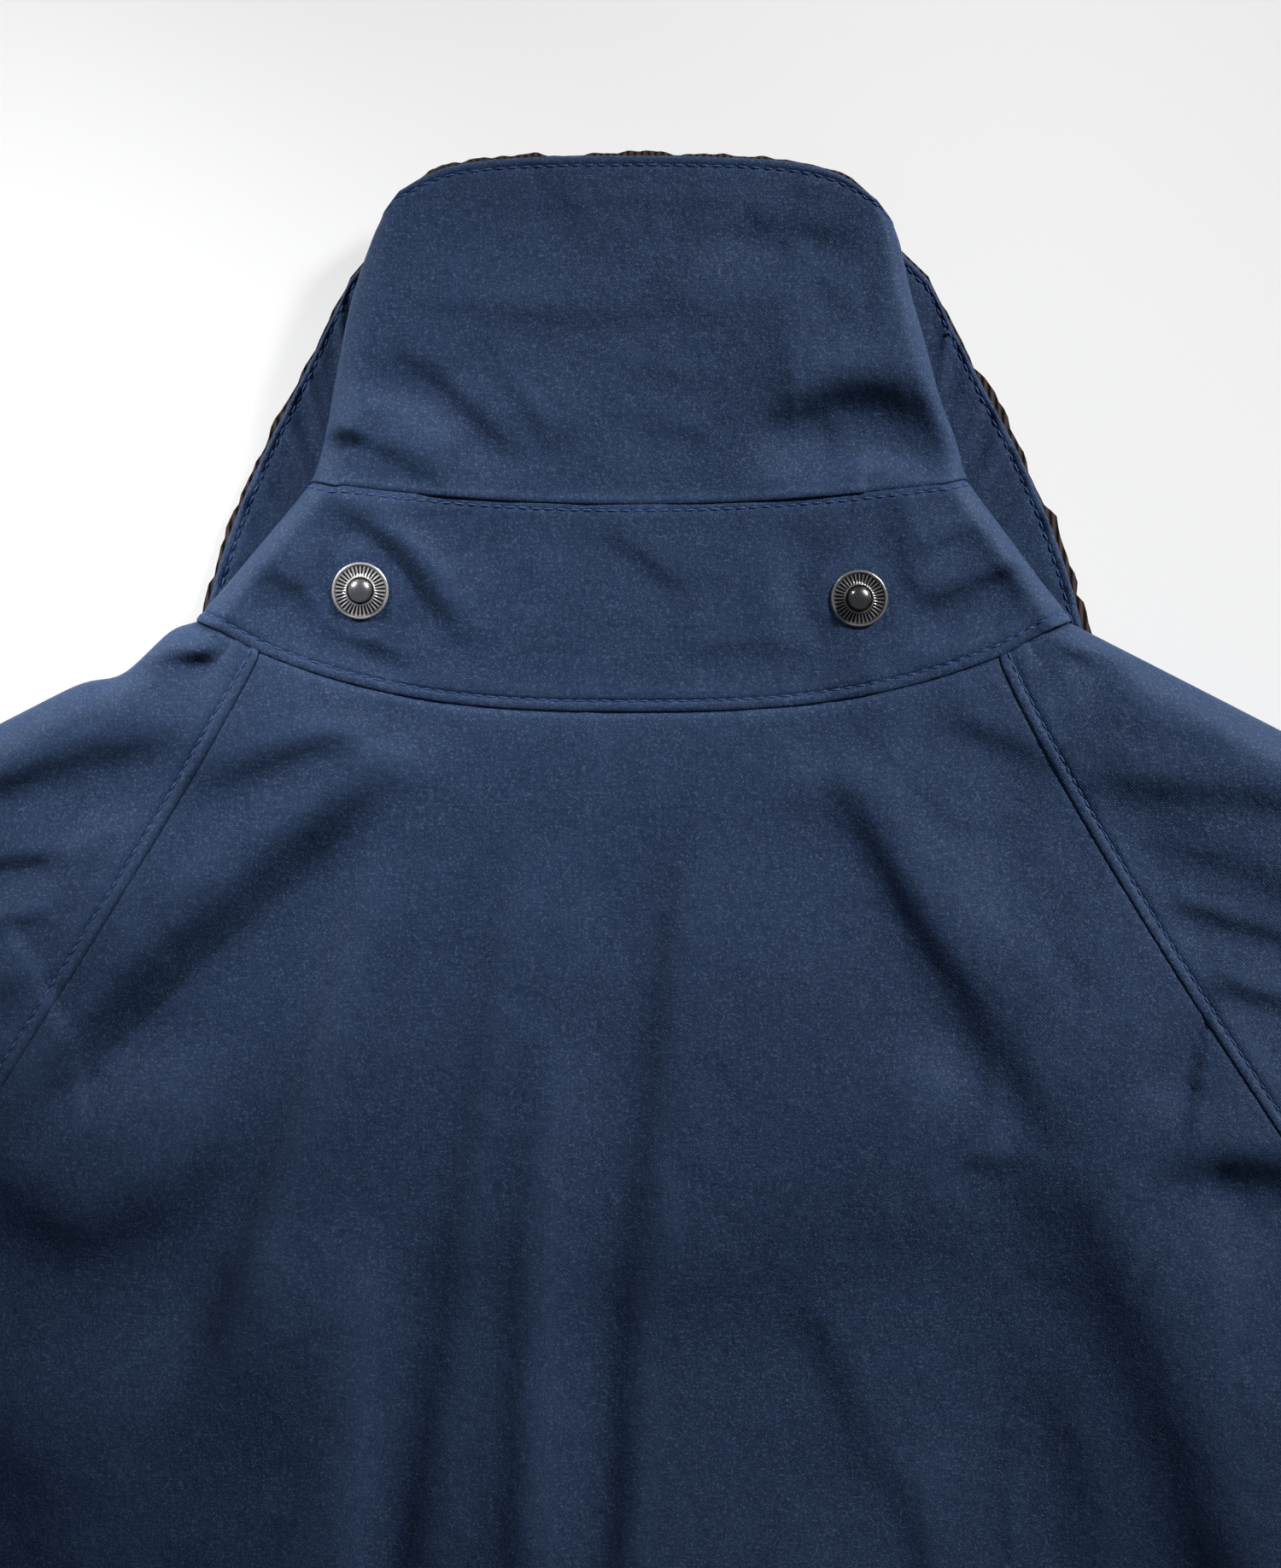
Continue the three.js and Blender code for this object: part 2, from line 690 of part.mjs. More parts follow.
function studGeometry() {
  const { radius, postRadius, height } = STUD;
  const profile = [
    [0, 0],
    [radius - 0.4, 0],
    [radius, 0.4],
    [radius - 0.2, 0.9],
    [radius - 0.9, 0.9],
    [radius - 1.1, 0.6],
    [postRadius + 0.9, 0.6],
    [postRadius + 0.5, 1.1],
    [postRadius - 0.3, 1.3],
    [postRadius, 2.3],
    [postRadius - 0.7, height - 0.35],
    [postRadius - 1.5, height],
    [0, height],
  ].map(([r, z]) => new THREE.Vector2(r, z));
  const geometry = new THREE.LatheGeometry(profile, 24);
  return geometry.rotateX(Math.PI / 2);
}

function capGeometry() {
  const { radius, thickness } = CAP;
  const profile = [
    [0, 0],
    [radius - 0.9, 0],
    [radius, 0.4],
    [radius, thickness],
    [0, thickness],
  ].map(([r, z]) => new THREE.Vector2(r, z));
  return new THREE.LatheGeometry(profile, 20).rotateX(Math.PI / 2);
}

function solidOf(geometry) {
  const bare = geometry.clone().deleteAttribute("normal").deleteAttribute("uv");
  const merged = mergeVertices(bare, 1e-4);
  return new wasm.Manifold(
    new wasm.Mesh({
      numProp: 3,
      vertProperties: merged.attributes.position.array,
      triVerts: new Uint32Array(merged.index.array),
    }),
  );
}

function geometryOf(solid) {
  const mesh = solid.getMesh();
  const geometry = new THREE.BufferGeometry();
  geometry.setAttribute(
    "position",
    new THREE.BufferAttribute(mesh.vertProperties, 3),
  );
  geometry.setIndex(new THREE.BufferAttribute(mesh.triVerts, 1));
  return geometry;
}

// The left front's outer face has a shallow recess behind each press stud's cap.
function recessed(geometry) {
  let solid = solidOf(geometry);
  for (let i = 0; i < CAP.count; i++) {
    const tool = new THREE.CylinderGeometry(
      RECESS.radius,
      RECESS.radius,
      RECESS.depth * 2,
      20,
    ).rotateX(Math.PI / 2);
    tool.translate(0, CAP.first - i * CAP.pitch, 0);
    solid = solid.subtract(solidOf(tool));
  }
  return geometryOf(solid);
}

// The assembled jacket, with its origin under the middle of its outline.

const jacket = new THREE.Group();
const outlineTop = COLLAR_TOP + 1;
jacket.position.y = -(outlineTop + HEM.y) / 2;

function add(name, geometry, look) {
  const mesh = new THREE.Mesh(geometry, new THREE.MeshStandardMaterial(look));
  mesh.name = name;
  jacket.add(mesh);
  return mesh;
}

const sleeves = {
  left: sleeveGrid(RAGLAN.left, -1),
  right: sleeveGrid(RAGLAN.right, 1),
};
for (const grid of Object.values(sleeves)) {
  const farthest = 12;
  grid[0].rollPoint = grid[0][farthest - 1];
}

add("back", wallGeometry(turnedOver(backGrid()), CLOTH), NAVY);
add("sleeve_right", wallGeometry(turnedOver(sleeves.right), CLOTH), NAVY);
add("sleeve_left", wallGeometry(sleeves.left.map((row) => row.map(mirrored)), CLOTH), NAVY);

const FRONT_COLUMNS = [42, 34, OVERLAP + 1, 0, -OVERLAP + 1];
const PLACKET_COLUMNS = [42, OVERLAP + 3, OVERLAP + 0.5, 0, -OVERLAP];
const placketDepth = (p) => (Math.abs(p.x) <= OVERLAP + 1 ? PLACKET : CLOTH);
const frontRight = turnedOver(frontGrid(overlapLift, FRONT_COLUMNS));
const frontLeft = frontGrid(() => 0, PLACKET_COLUMNS).map((row) => row.map(mirrored));
add("front_right", wallGeometry(frontRight, CLOTH), NAVY);
add("front_left", recessed(wallGeometry(frontLeft, placketDepth)), NAVY);

add("collar_stand", wallGeometry(standGrid(sleeves), CLOTH), NAVY);

const leafShares = [0, 0.2, 0.4, 0.6, 0.8, 0.93, 1];
add("collar_leaf", wallGeometry(leafGrid(leafShares), LEAF_CLOTH), NAVY);

const facingShares = [0, 0.2, 0.4, 0.6, 0.8, 0.93, 1.014];
const facingGrid = leafGrid(facingShares);
const facingNormals = gridNormals(facingGrid);
const facingOuter = facingGrid.map((row, i) =>
  row.map((p, j) => p.clone().addScaledVector(facingNormals[i][j], -(LEAF_CLOTH + 0.3))),
);
facingOuter[0] = facingOuter[0].map((p, j) => p.clone().lerp(facingOuter[1][j], FACING_SHORT));
add("collar_facing", wallGeometry(facingOuter, FACING_CLOTH), BROWN);

for (const stud of STUD_PLACES)
  add(stud.name, studGeometry(), METAL).position.set(
    stud.x,
    stud.y,
    studSurface(stud) + STUD.rise,
  );
for (let i = 0; i < CAP.count; i++)
  add(`cap_${i + 1}`, capGeometry(), METAL).position.y = CAP.first - i * CAP.pitch;

export default jacket;
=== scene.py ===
"""A waxed cotton jacket laid face down: its cloth, seams, stitches and press studs, seen from above."""

import math
from functools import partial

import bpy
import numpy as np
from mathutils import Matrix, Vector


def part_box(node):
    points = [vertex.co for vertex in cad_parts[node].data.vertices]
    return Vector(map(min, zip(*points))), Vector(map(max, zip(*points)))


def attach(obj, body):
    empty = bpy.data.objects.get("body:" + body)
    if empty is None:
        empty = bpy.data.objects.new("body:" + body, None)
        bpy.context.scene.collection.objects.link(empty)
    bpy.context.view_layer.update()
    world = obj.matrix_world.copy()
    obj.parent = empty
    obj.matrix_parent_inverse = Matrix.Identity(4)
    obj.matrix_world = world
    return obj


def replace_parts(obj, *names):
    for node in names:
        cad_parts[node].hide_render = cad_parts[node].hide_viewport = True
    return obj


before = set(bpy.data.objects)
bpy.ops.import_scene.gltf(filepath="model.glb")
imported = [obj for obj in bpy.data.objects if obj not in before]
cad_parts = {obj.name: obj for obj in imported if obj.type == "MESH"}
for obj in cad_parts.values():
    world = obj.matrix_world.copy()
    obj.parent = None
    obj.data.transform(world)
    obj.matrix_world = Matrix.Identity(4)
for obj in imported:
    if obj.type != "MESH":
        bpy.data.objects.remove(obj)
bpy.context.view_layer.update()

# The cut, in millimetres. The origin is the middle of the back neck seam and the collar points to +Y.
SHIFT_Y = 311.8  # from the neck seam to the frame's origin
NECK_HALF, NECK_RISE, NECK_POWER = 102, 21, 2.7
STAND_HEIGHT, STAND_RISE, STAND_HALF = 48.5, 5.5, 76
ARMPIT = np.array([282.0, -290.0])
HEM_SIDE = np.array([292.0, -755.0])
SHOULDER_RUN, SHOULDER_SLOPE = 300, math.radians(27)
BEND_RADIUS, ARM_SLOPE = 260, math.radians(52)
SLEEVE_LENGTH, CUFF_WIDTH = 780, 150
RAGLAN = {-1: (88, 14.1, 4), 1: (86, 13.25, 6)}  # where each seam leaves the neck, and its bow
FRONT_RAGLAN = (92, -18, 8)
COLLAR_TOP, COLLAR_HALF, COLLAR_BOW, COLLAR_CORNER = 130.4, 57.4, 2.5, 8.9
OVERLAP = 22  # how far each front passes the centre line
PLACKET_EDGE = 42  # from here to their edge the fronts' columns lie close
SEAM_GAP = 0.2  # each piece stops this far short of its seam
PLATEAU_NECK, PLATEAU_HEM, EDGE_HEIGHT = 20, 17.5, 9
TOP_DROP = 0.6  # the cloth lies this far below its full height, and folds rise from there
ROLL_TOP, ROLL_NECK, ROLL_BOTTOM = 12, 7.5, 7
BACK_RISE, RISE_RUN, RISE_FADE = 2.6, 24, (50, 230)  # the back's swell below the neck seam
SHOULDER_DIP, DIP_REACH, DIP_X, DIP_RUN = 3.6, 36, 100, 30  # how the shoulders sink to their edges
WING_LIFT, WING_RX, WING_RY, WING_Y, WING_FADE = 3.5, 125, 80, -5, 0.35  # over the collar's folded ends
WING_SHARE = 0.65  # how much of that the jacket's outer edge takes
SETTLE_Y = -300  # from here on the jacket thins towards the hem
COLLAR_SEAM, COLLAR_EDGE, COLLAR_MIDDLE, COLLAR_WING = 18, 14, 6.8, 2.7
STUDS = {"stud_left": (-64.0, 28.0), "stud_right": (52.8, 26.2)}
SHELL = 1.0  # the cloth's own thickness
STITCH = 3.0  # from one stitch to the next
THREAD_RADIUS = 0.25
HEM_ROLL = 8  # the hems' relief fades this near the outline
CLEAR_OF_FLOOR = 0.5  # how far the underside rises where stitches run
FOLD_SCALE = 1.3  # the back's folds are this much deeper than their table says
FAR = 99.0  # a distance beyond every seam's profile

rng = np.random.default_rng(7)


def smooth(t):
    t = np.clip(t, 0, 1)
    return t * t * (3 - 2 * t)


def lerp(a, b, t):
    return a + (b - a) * t


def bell(x, middle, width):
    return np.exp(-(((x - middle) / width) ** 2))


def lengths_along(points):
    """How far along a line each of its points lies."""
    return np.cumsum(np.concatenate([[0], np.linalg.norm(np.diff(points, axis=0), axis=1)]))


def point_at(place, places, line):
    """Points of a line at any places between those of its own points."""
    return np.stack([np.interp(place, places, c) for c in line.T], -1)


def between(start, end, t):
    """Points on the way from start to end, one for each share in t."""
    return np.column_stack([lerp(a, b, t) for a, b in zip(start, end)])


def spline(points, steps):
    """A Catmull-Rom curve through points, as an array of points."""
    p = np.asarray(points, float)
    p = np.vstack([2 * p[0] - p[1], p, 2 * p[-1] - p[-2]])
    t = np.linspace(0, 1, steps, endpoint=False)[:, None]
    out = []
    for a, b, c, d in zip(p, p[1:], p[2:], p[3:]):
        out.append(b + 0.5 * t * (c - a + t * (2 * a - 5 * b + 4 * c - d + t * (3 * (b - c) + d - a))))
    return np.vstack([*out, p[-2]])


# Plan curves for the wearer's right side, +X.


def neck_y(x):
    return NECK_RISE * (np.abs(x) / NECK_HALF) ** NECK_POWER


def stand_seam_y(x):
    return STAND_HEIGHT + STAND_RISE * (np.asarray(x) / STAND_HALF) ** 2


def collar_top_y(x):
    u = np.abs(x) / COLLAR_HALF
    return COLLAR_TOP - COLLAR_BOW * u**2 - COLLAR_CORNER * u**7


def overarm(s):
    s = np.asarray(s, float)
    turned = np.clip(SHOULDER_SLOPE + (s - SHOULDER_RUN) / BEND_RADIUS, SHOULDER_SLOPE, ARM_SLOPE)
    straight = np.minimum(s, SHOULDER_RUN)
    rest = np.maximum(0, s - SHOULDER_RUN - BEND_RADIUS * (ARM_SLOPE - SHOULDER_SLOPE))
    x = NECK_HALF + straight * math.cos(SHOULDER_SLOPE) + rest * math.cos(ARM_SLOPE)
    y = NECK_RISE - straight * math.sin(SHOULDER_SLOPE) - rest * math.sin(ARM_SLOPE)
    x = x + BEND_RADIUS * (np.sin(turned) - math.sin(SHOULDER_SLOPE))
    y = y - BEND_RADIUS * (math.cos(SHOULDER_SLOPE) - np.cos(turned))
    return np.stack([x, y], -1)


CUFF_OUTER = overarm(SLEEVE_LENGTH)
CUFF_INNER = CUFF_OUTER - CUFF_WIDTH * np.array([math.sin(ARM_SLOPE), math.cos(ARM_SLOPE)])
ARMPIT_LENGTH = float(np.argmin(np.linalg.norm(overarm(np.arange(SLEEVE_LENGTH)) - ARMPIT, axis=1)))


def raglan_point(start, v, offset=0.0):
    v = np.asarray(v, float)[..., None]
    origin = np.array(start[:2], float)
    along = ARMPIT - origin
    across = np.array([-along[1], along[0]]) / np.linalg.norm(along)
    return origin + along * v + across * (offset - start[2] * np.sin(np.pi * v**0.6))


def segment_distance(x, y, line):
    """Distance, side and share of the way along a polyline, for each point."""
    best = np.full(np.shape(x), np.inf)
    side = np.ones(np.shape(x))
    share = np.zeros(np.shape(x))
    lengths = np.linalg.norm(np.diff(line, axis=0), axis=1)
    ends = lengths_along(line)
    for (ax, ay), (bx, by), start, length in zip(line, line[1:], ends, lengths):
        dx, dy = bx - ax, by - ay
        t = np.clip(((x - ax) * dx + (y - ay) * dy) / length**2, 0, 1)
        d = np.hypot(x - ax - t * dx, y - ay - t * dy)
        nearer = d < best
        best = np.where(nearer, d, best)
        side = np.where(nearer, np.sign((y - ay) * dx - (x - ax) * dy), side)
        share = np.where(nearer, (start + t * length) / ends[-1], share)
    return best, side, share


EDGES = [np.array([ARMPIT, HEM_SIDE]), np.array([ARMPIT, CUFF_INNER])]
EDGES.append(overarm(np.linspace(0, SLEEVE_LENGTH, 27)))


def edge_distance(x, y):
    return np.minimum.reduce([segment_distance(np.abs(x), y, line)[0] for line in EDGES])


# Folds. Each is a band where the cloth slopes down away from the light, and it recovers slowly on both
# sides. A swell below zero slopes the other way and is lit.
# Columns: swell in mm, half width in mm, then the band's middle line.
BACK_FOLDS = [
    # right of the middle: the long fold from the neck, and what branches off it
    (1.4, 6, (40, -4), (52, -24), (64, -46), (80, -72), (94, -94), (102, -112)),
    (3.0, 10.5, (94, -98), (106, -124), (118, -152), (130, -184), (150, -250), (168, -310)),
    (1.6, 11, (90, -140), (102, -172), (114, -230)),
    (1.9, 17, (-40, -150), (-4, -140), (28, -130), (60, -122), (90, -118), (124, -124)),
    (0.9, 4, (72, -104), (84, -106), (97, -103)),
    (2.3, 7, (116, -102), (128, -108), (140, -107), (156, -110), (196, -124)),
    (-0.9, 5, (-80, 2), (-60, -7), (-38, -13)),
    (-0.8, 5, (28, -13), (46, -12), (64, -6)),
    (-1.0, 9, (58, -70), (72, -84), (88, -99)),
    (-1.0, 7, (112, -84), (124, -92), (140, -97)),
    (-0.9, 8, (62, -18), (80, -40), (98, -66)),
    (0.6, 4, (58, -165), (68, -201), (74, -240)),
    (0.7, 6, (34, -130), (50, -160), (58, -200)),
    # the right sleeve
    (0.7, 4, (64, 1), (76, -3), (90, -9), (104, -14)),
    (1.7, 5.2, (94, -11), (110, -17), (130, -19.5), (152, -22), (235, -47)),
    (1.4, 6, (112, -28), (132, -34), (152, -41), (205, -70)),
    (0.7, 2.6, (116, -43), (130, -47), (156, -55), (178, -64)),
    (0.7, 2.6, (128, -61), (142, -66), (160, -72), (180, -84)),
    (0.5, 5, (104, 2), (122, -4), (142, -10), (210, -34)),
    # the middle
    (1.5, 5, (18, -18), (8.6, -48), (5, -80), (2, -112), (-1.5, -146), (-3.5, -194), (-8, -260)),
    (1.4, 5.2, (-26, -20), (-33, -58), (-38, -92), (-42, -124), (-46, -156), (-52, -198), (-58, -260)),
    (1.0, 4.2, (-19, -70), (-26, -120), (-28, -170), (-30, -230)),
    (-1.1, 8, (-13, -60), (-15, -110), (-16, -160), (-18, -220)),
    (-1.7, 6, (-56, -115), (-60, -160), (-66, -230)),
    # left of the middle
    (2.1, 5.5, (-56, -14), (-61, -28), (-66, -46), (-72, -68), (-79, -92), (-88, -118), (-98, -145),
     (-108, -172)),
    (2.1, 6.5, (-44, -6), (-62, -19), (-84, -37), (-107, -56), (-127, -76), (-141, -94), (-152, -108)),
    (1.0, 4, (-54, -5), (-74, -8), (-92, -14), (-110, -20)),
    (-0.6, 6, (-120, -44), (-92, -28), (-58, -10)),
    (-0.9, 6, (-140, -98), (-118, -86), (-94, -72)),
    (2.6, 11, (-240, -130), (-190, -118), (-148, -115), (-130, -123), (-112, -116), (-96, -98), (-88, -80)),
    (2.0, 13, (-172, -150), (-152, -170), (-140, -196), (-136, -240)),
    (0.5, 9, (-104, -112), (-96, -138), (-94, -166)),
    # the left sleeve
    (1.5, 4.6, (-94, -3), (-106, -7), (-122, -9.5), (-148, -17.5), (-235, -47)),
    (0.9, 3.4, (-176, -42), (-148, -36), (-126, -34)),
    (1.0, 4.4, (-180, -80), (-150, -66), (-134, -60)),
    (0.6, 2.6, (-176, -60), (-150, -51), (-132, -47)),
    (-0.7, 5, (-152, -58), (-128, -28), (-108, -24)),
    (1.2, 2, (-121, 9), (-112, 12), (-94, 12.5)),
    (1.0, 2, (98, 13), (108, 13), (119, 9)),
    # beyond the photo
    (2.6, 11, (150, -330), (168, -520), (190, -720)),
    (2.4, 10, (-70, -360), (-84, -560), (-96, -735)),
    (2.2, 9, (30, -300), (41, -520), (44, -735)),
    (2.4, 11, (-180, -330), (-172, -520), (-200, -700)),
    (2.4, 8, (300, -170), (372, -240), (420, -330)),
    (2.0, 7, (330, -150), (400, -262), (470, -360)),
    (2.4, 8, (-290, -150), (-362, -230), (-410, -320)),
    (2.0, 7, (-340, -170), (-412, -276), (-480, -370)),
    (2.0, 7, (440, -400), (500, -404), (560, -420)),
    (2.0, 7, (-450, -390), (-505, -412), (-560, -425)),
    (1.7, 6, (470, -460), (540, -458), (600, -470)),
    (1.7, 6, (-480, -455), (-540, -460), (-596, -476)),
    (1.8, 7, (205, -262), (246, -276), (300, -300)),
    (1.8, 7, (-210, -256), (-250, -280), (-300, -306)),
]
STAND_FOLDS = [
    (1.3, 3, (-94, 31), (-84, 31), (-74, 25), (-60, 14), (-44, 6)),
    (1.6, 3.2, (-74, 49), (-64, 44), (-54, 35), (-46, 25), (-38, 12)),
    (1.5, 3, (97, 35), (88, 33), (74, 27), (60, 24)),
    (0.8, 2.6, (84, 45), (74, 40), (60, 35)),
    (-0.9, 3.4, (60, 15), (76, 18), (96, 26)),
    (-0.6, 3.4, (-70, 18), (-58, 11), (-44, 6)),
    (-0.8, 3, (-60, 48), (-48, 38), (-38, 24)),
    (-0.5, 3, (34, 16), (36, 30), (33, 44)),
    (0.6, 3, (-12, 44), (2, 36), (14, 24)),
    (0.5, 2.6, (10, 12), (26, 15), (44, 12)),
    (0.5, 3, (-30, 14), (-24, 26), (-22, 40)),
]
LEAF_FOLDS = [
    (1.7, 1.9, (-94, 68.5), (-82, 67), (-71, 65), (-60, 62)),
    (0.9, 2.8, (-66, 64), (-54, 59), (-42, 51)),
    (-0.8, 3.4, (-72, 76), (-62, 74), (-49, 70), (-38, 61), (-28, 52)),
    (1.1, 3.6, (-62, 86), (-52, 82), (-42, 74), (-32, 64), (-24, 56)),
    (0.7, 3.4, (-44, 92), (-32, 82), (-24, 70), (-18, 58)),
    (-0.5, 3.4, (-38, 88), (-28, 79), (-17, 68)),
    (3.0, 6.2, (88, 60), (74, 67), (60, 74), (48, 74), (34, 68), (22, 62)),
    (-1.5, 4.4, (26, 54), (42, 57), (58, 59), (80, 52)),
    (-0.8, 6, (26, 66), (34, 78), (46, 86), (64, 92)),
    (-1.3, 7, (18, 102), (36, 106), (56, 104)),
    (0.8, 4, (10, 111), (30, 114), (54, 112)),
    (0.6, 4.5, (-60, 97), (-36, 94), (-10, 92), (16, 94), (34, 92)),
    (0.25, 3, (-50, 117), (-20, 119), (14, 119), (42, 117)),
    (0.5, 4, (-8, 86), (6, 78), (26, 76)),
    (0.4, 3, (-6, 62), (8, 66), (22, 63)),
]

LIT_FROM = 44  # degrees from +Y towards +X
LIT_AZIMUTH = ([-110, -60, 0], [-6, 30, LIT_FROM])  # by x, where the left key reaches
LEFT_KEY_LOW, LEFT_KEY_FADE = -80, 50


def lit_side(x, y):
    """Where most of the light on a place comes from: the left key reaches only the top left."""
    reached = smooth((y - LEFT_KEY_LOW) / LEFT_KEY_FADE)
    azimuth = math.radians(lerp(LIT_FROM, np.interp(x, *LIT_AZIMUTH), reached))
    return np.array([math.sin(azimuth), math.cos(azimuth)])


DRAPE_FROM = 120  # small wrinkles lean along lines from this place on the middle line
SMALL_RUN, SMALL_BEND = (7, 24), 0.14  # half their length, and their bend as a share of it
SMALL_SWELL, SMALL_WIDTH = (0.06, 0.22), (1.8, 4.5)


def small_folds(count, low, high, spread):
    """Short shallow wrinkles of seeded sizes; they lean along the drape from the neck."""
    rows = []
    for _ in range(count):
        x, y = rng.uniform(low, high)
        lean = math.atan2(y - DRAPE_FROM, x) + rng.normal(0, spread)
        run = rng.uniform(*SMALL_RUN)
        bend = rng.normal(0, SMALL_BEND) * run
        ux, uy = math.cos(lean), math.sin(lean)
        line = [
            (x - ux * run, y - uy * run),
            (x - uy * bend, y + ux * bend),
            (x + ux * run, y + uy * run),
        ]
        size = rng.uniform(*SMALL_SWELL)
        rows.append((size * rng.choice([-1, 1]), rng.uniform(*SMALL_WIDTH), *line))
    return rows


# How many wrinkles, the corners of their field, and how much their lean varies: back, then sleeves.
SMALL_FIELDS = [
    (200, (-300, -330), (300, 10), 0.5),
    (120, (-290, -750), (290, -330), 0.5),
    (120, (-640, -500), (-250, -60), 0.9),
    (120, (250, -500), (640, -60), 0.9),
]
BACK_SMALL = [row for field in SMALL_FIELDS for row in small_folds(*field)]
COLLAR_SMALL = small_folds(70, (-80, 4), (80, 126), 1.2)

FOLD_REACH = 9  # a fold ends this many half widths away
FOLD_WAVE, FOLD_WAVES = 0.22, 7  # how much its width varies, and how often
FOLD_STEEP, FOLD_RECOVERY = 1.3, 4.5
FOLD_END, FOLD_END_WIDTHS = 0.12, 2.4  # it fades over this share of its length and this many half widths
STUD_CLEAR, STUD_FADE = 7.5, 8  # no fold comes this near a stud, and it is whole so much further out


def fold_height(x, y, rows):
    x, y = np.broadcast_arrays(np.asarray(x, float), np.asarray(y, float))
    total = np.zeros(x.shape)
    for swell, width, *points in rows:
        line = spline(points, 4)
        low, high = line.min(0) - FOLD_REACH * width, line.max(0) + FOLD_REACH * width
        inside = (x > low[0]) & (x < high[0]) & (y > low[1]) & (y < high[1])
        if not inside.any():
            continue
        d, side, share = segment_distance(x[inside], y[inside], line)
        run = line[-1] - line[0]
        lit = np.sign(np.dot([-run[1], run[0]], lit_side(*line[len(line) // 2])))
        wave = 1 + FOLD_WAVE * np.sin(FOLD_WAVES * share + points[0][0])
        q = d * side * lit / (width * wave)
        length = np.linalg.norm(np.diff(line, axis=0), axis=1).sum()
        fade = min(0.5, FOLD_END + FOLD_END_WIDTHS * width / length)
        ends = smooth(share / fade) * smooth((1 - share) / fade)
        total[inside] += swell * np.tanh(FOLD_STEEP * q) * bell(q, 0, FOLD_RECOVERY) * ends
    return total


def away_from_studs(x, y):
    keep = np.ones(np.shape(x))
    for sx, sy in STUDS.values():
        keep = keep * smooth((np.hypot(x - sx, y - sy) - STUD_CLEAR) / STUD_FADE)
    return keep


def wing_lift(x, y):
    r = np.hypot(x / WING_RX, (y - WING_Y) / WING_RY)
    return WING_LIFT * smooth((1 + WING_FADE - r) / WING_FADE)


def edge_height(x, y):
    return EDGE_HEIGHT + WING_SHARE * wing_lift(x, y)


def rounded(distance, radius):
    inward = 1 - np.clip(distance / radius, 0, 1)
    return np.sqrt(1 - inward**2)


def top_height(x, y):
    radius = lerp(ROLL_TOP, ROLL_NECK, wing_lift(x, y) / WING_LIFT)
    down = smooth((y - SETTLE_Y) / (HEM_SIDE[1] - SETTLE_Y))
    folds = FOLD_SCALE * fold_height(x, y, BACK_FOLDS) + fold_height(x, y, BACK_SMALL)
    plateau = lerp(PLATEAU_NECK, PLATEAU_HEM, down) - TOP_DROP + folds * away_from_studs(x, y)
    below_neck = np.maximum(0, neck_y(x) - y)
    settled = smooth((below_neck - RISE_FADE[0]) / RISE_FADE[1])
    plateau += BACK_RISE * (1 - np.exp(-below_neck / RISE_RUN)) * (1 - settled)
    middle = edge_height(x, y)
    inward = edge_distance(x, y)
    near_edge = np.clip(1 - inward / DIP_REACH, 0, 1) ** 2
    plateau -= SHOULDER_DIP * near_edge * smooth((np.abs(x) - DIP_X) / DIP_RUN)
    return middle + (plateau - middle) * rounded(inward, radius)


def bottom_height(x, y):
    middle = edge_height(x, y)
    share = rounded(edge_distance(x, y), ROLL_BOTTOM)
    return middle - (middle - wing_lift(x, y)) * share


# Meshes.


def grid_normals(grid):
    along = np.gradient(grid, axis=1)
    up = np.gradient(grid, axis=0)
    normal = np.cross(along, up)
    return normal / np.maximum(np.linalg.norm(normal, axis=2, keepdims=True), 1e-9)


def new_object(name, data):
    obj = bpy.data.objects.new(name, data)
    bpy.context.scene.collection.objects.link(obj)
    return obj


def new_piece(name, vertices, quads, look, paling_and_painted_shade=None):
    mesh = bpy.data.meshes.new(name)
    points = np.asarray(vertices) + [0, SHIFT_Y, 0]
    mesh.from_pydata((points * 0.001).tolist(), [], np.asarray(quads).tolist())
    mesh.validate()
    mesh.shade_smooth()
    # the per-point attribute: paling of raised cloth, or the studs' painted shade and the polish of their
    # balls
    if paling_and_painted_shade is not None:
        mesh.attributes.new("paling_and_painted_shade", "FLOAT", "POINT").data.foreach_set("value", paling_and_painted_shade.ravel())
    material, slot = look
    mesh.materials.append(material)
    obj = new_object(name, mesh)
    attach(obj, "root")
    return obj


def swell_of(grid):
    """How far each point stands above its neighbours, in mm: where the cloth is painted paler."""
    z = grid[..., 2]
    soft = z.copy()
    for _ in range(6):
        soft[1:-1, 1:-1] = 0.25 * (soft[:-2, 1:-1] + soft[2:, 1:-1] + soft[1:-1, :-2] + soft[1:-1, 2:])
    return np.clip((z - soft) * 6, 0, 1)


def raised(grid, relief):
    return grid + grid_normals(grid) * relief[..., None]


def wall(name, grid, thickness, look):
    """A closed shell under a grid of outer points."""
    inner = grid - grid_normals(grid) * thickness
    rows, columns = grid.shape[:2]
    count = rows * columns
    ids = np.arange(count).reshape(rows, columns)

    def quads(a, b, c, d):
        return np.stack([a, b, c, d], -1).reshape(-1, 4)

    outer = quads(ids[:-1, :-1], ids[:-1, 1:], ids[1:, 1:], ids[1:, :-1])
    faces = [outer, outer[:, [0, 3, 2, 1]] + count]
    for line, flip in ((ids[:, 0], 0), (ids[:, -1], 1), (ids[0], 1), (ids[-1], 0)):
        a, b = line[:-1], line[1:]
        rim = quads(a, b, b + count, a + count)
        faces.append(rim[:, ::-1] if flip else rim)
    # raised cloth is painted paler; the inner side gets none
    paling_and_painted_shade = np.concatenate([swell_of(grid).ravel(), np.zeros(count)])
    points = np.concatenate([grid.reshape(-1, 3), inner.reshape(-1, 3)])
    return new_piece(name, points, np.vstack(faces), look, paling_and_painted_shade)


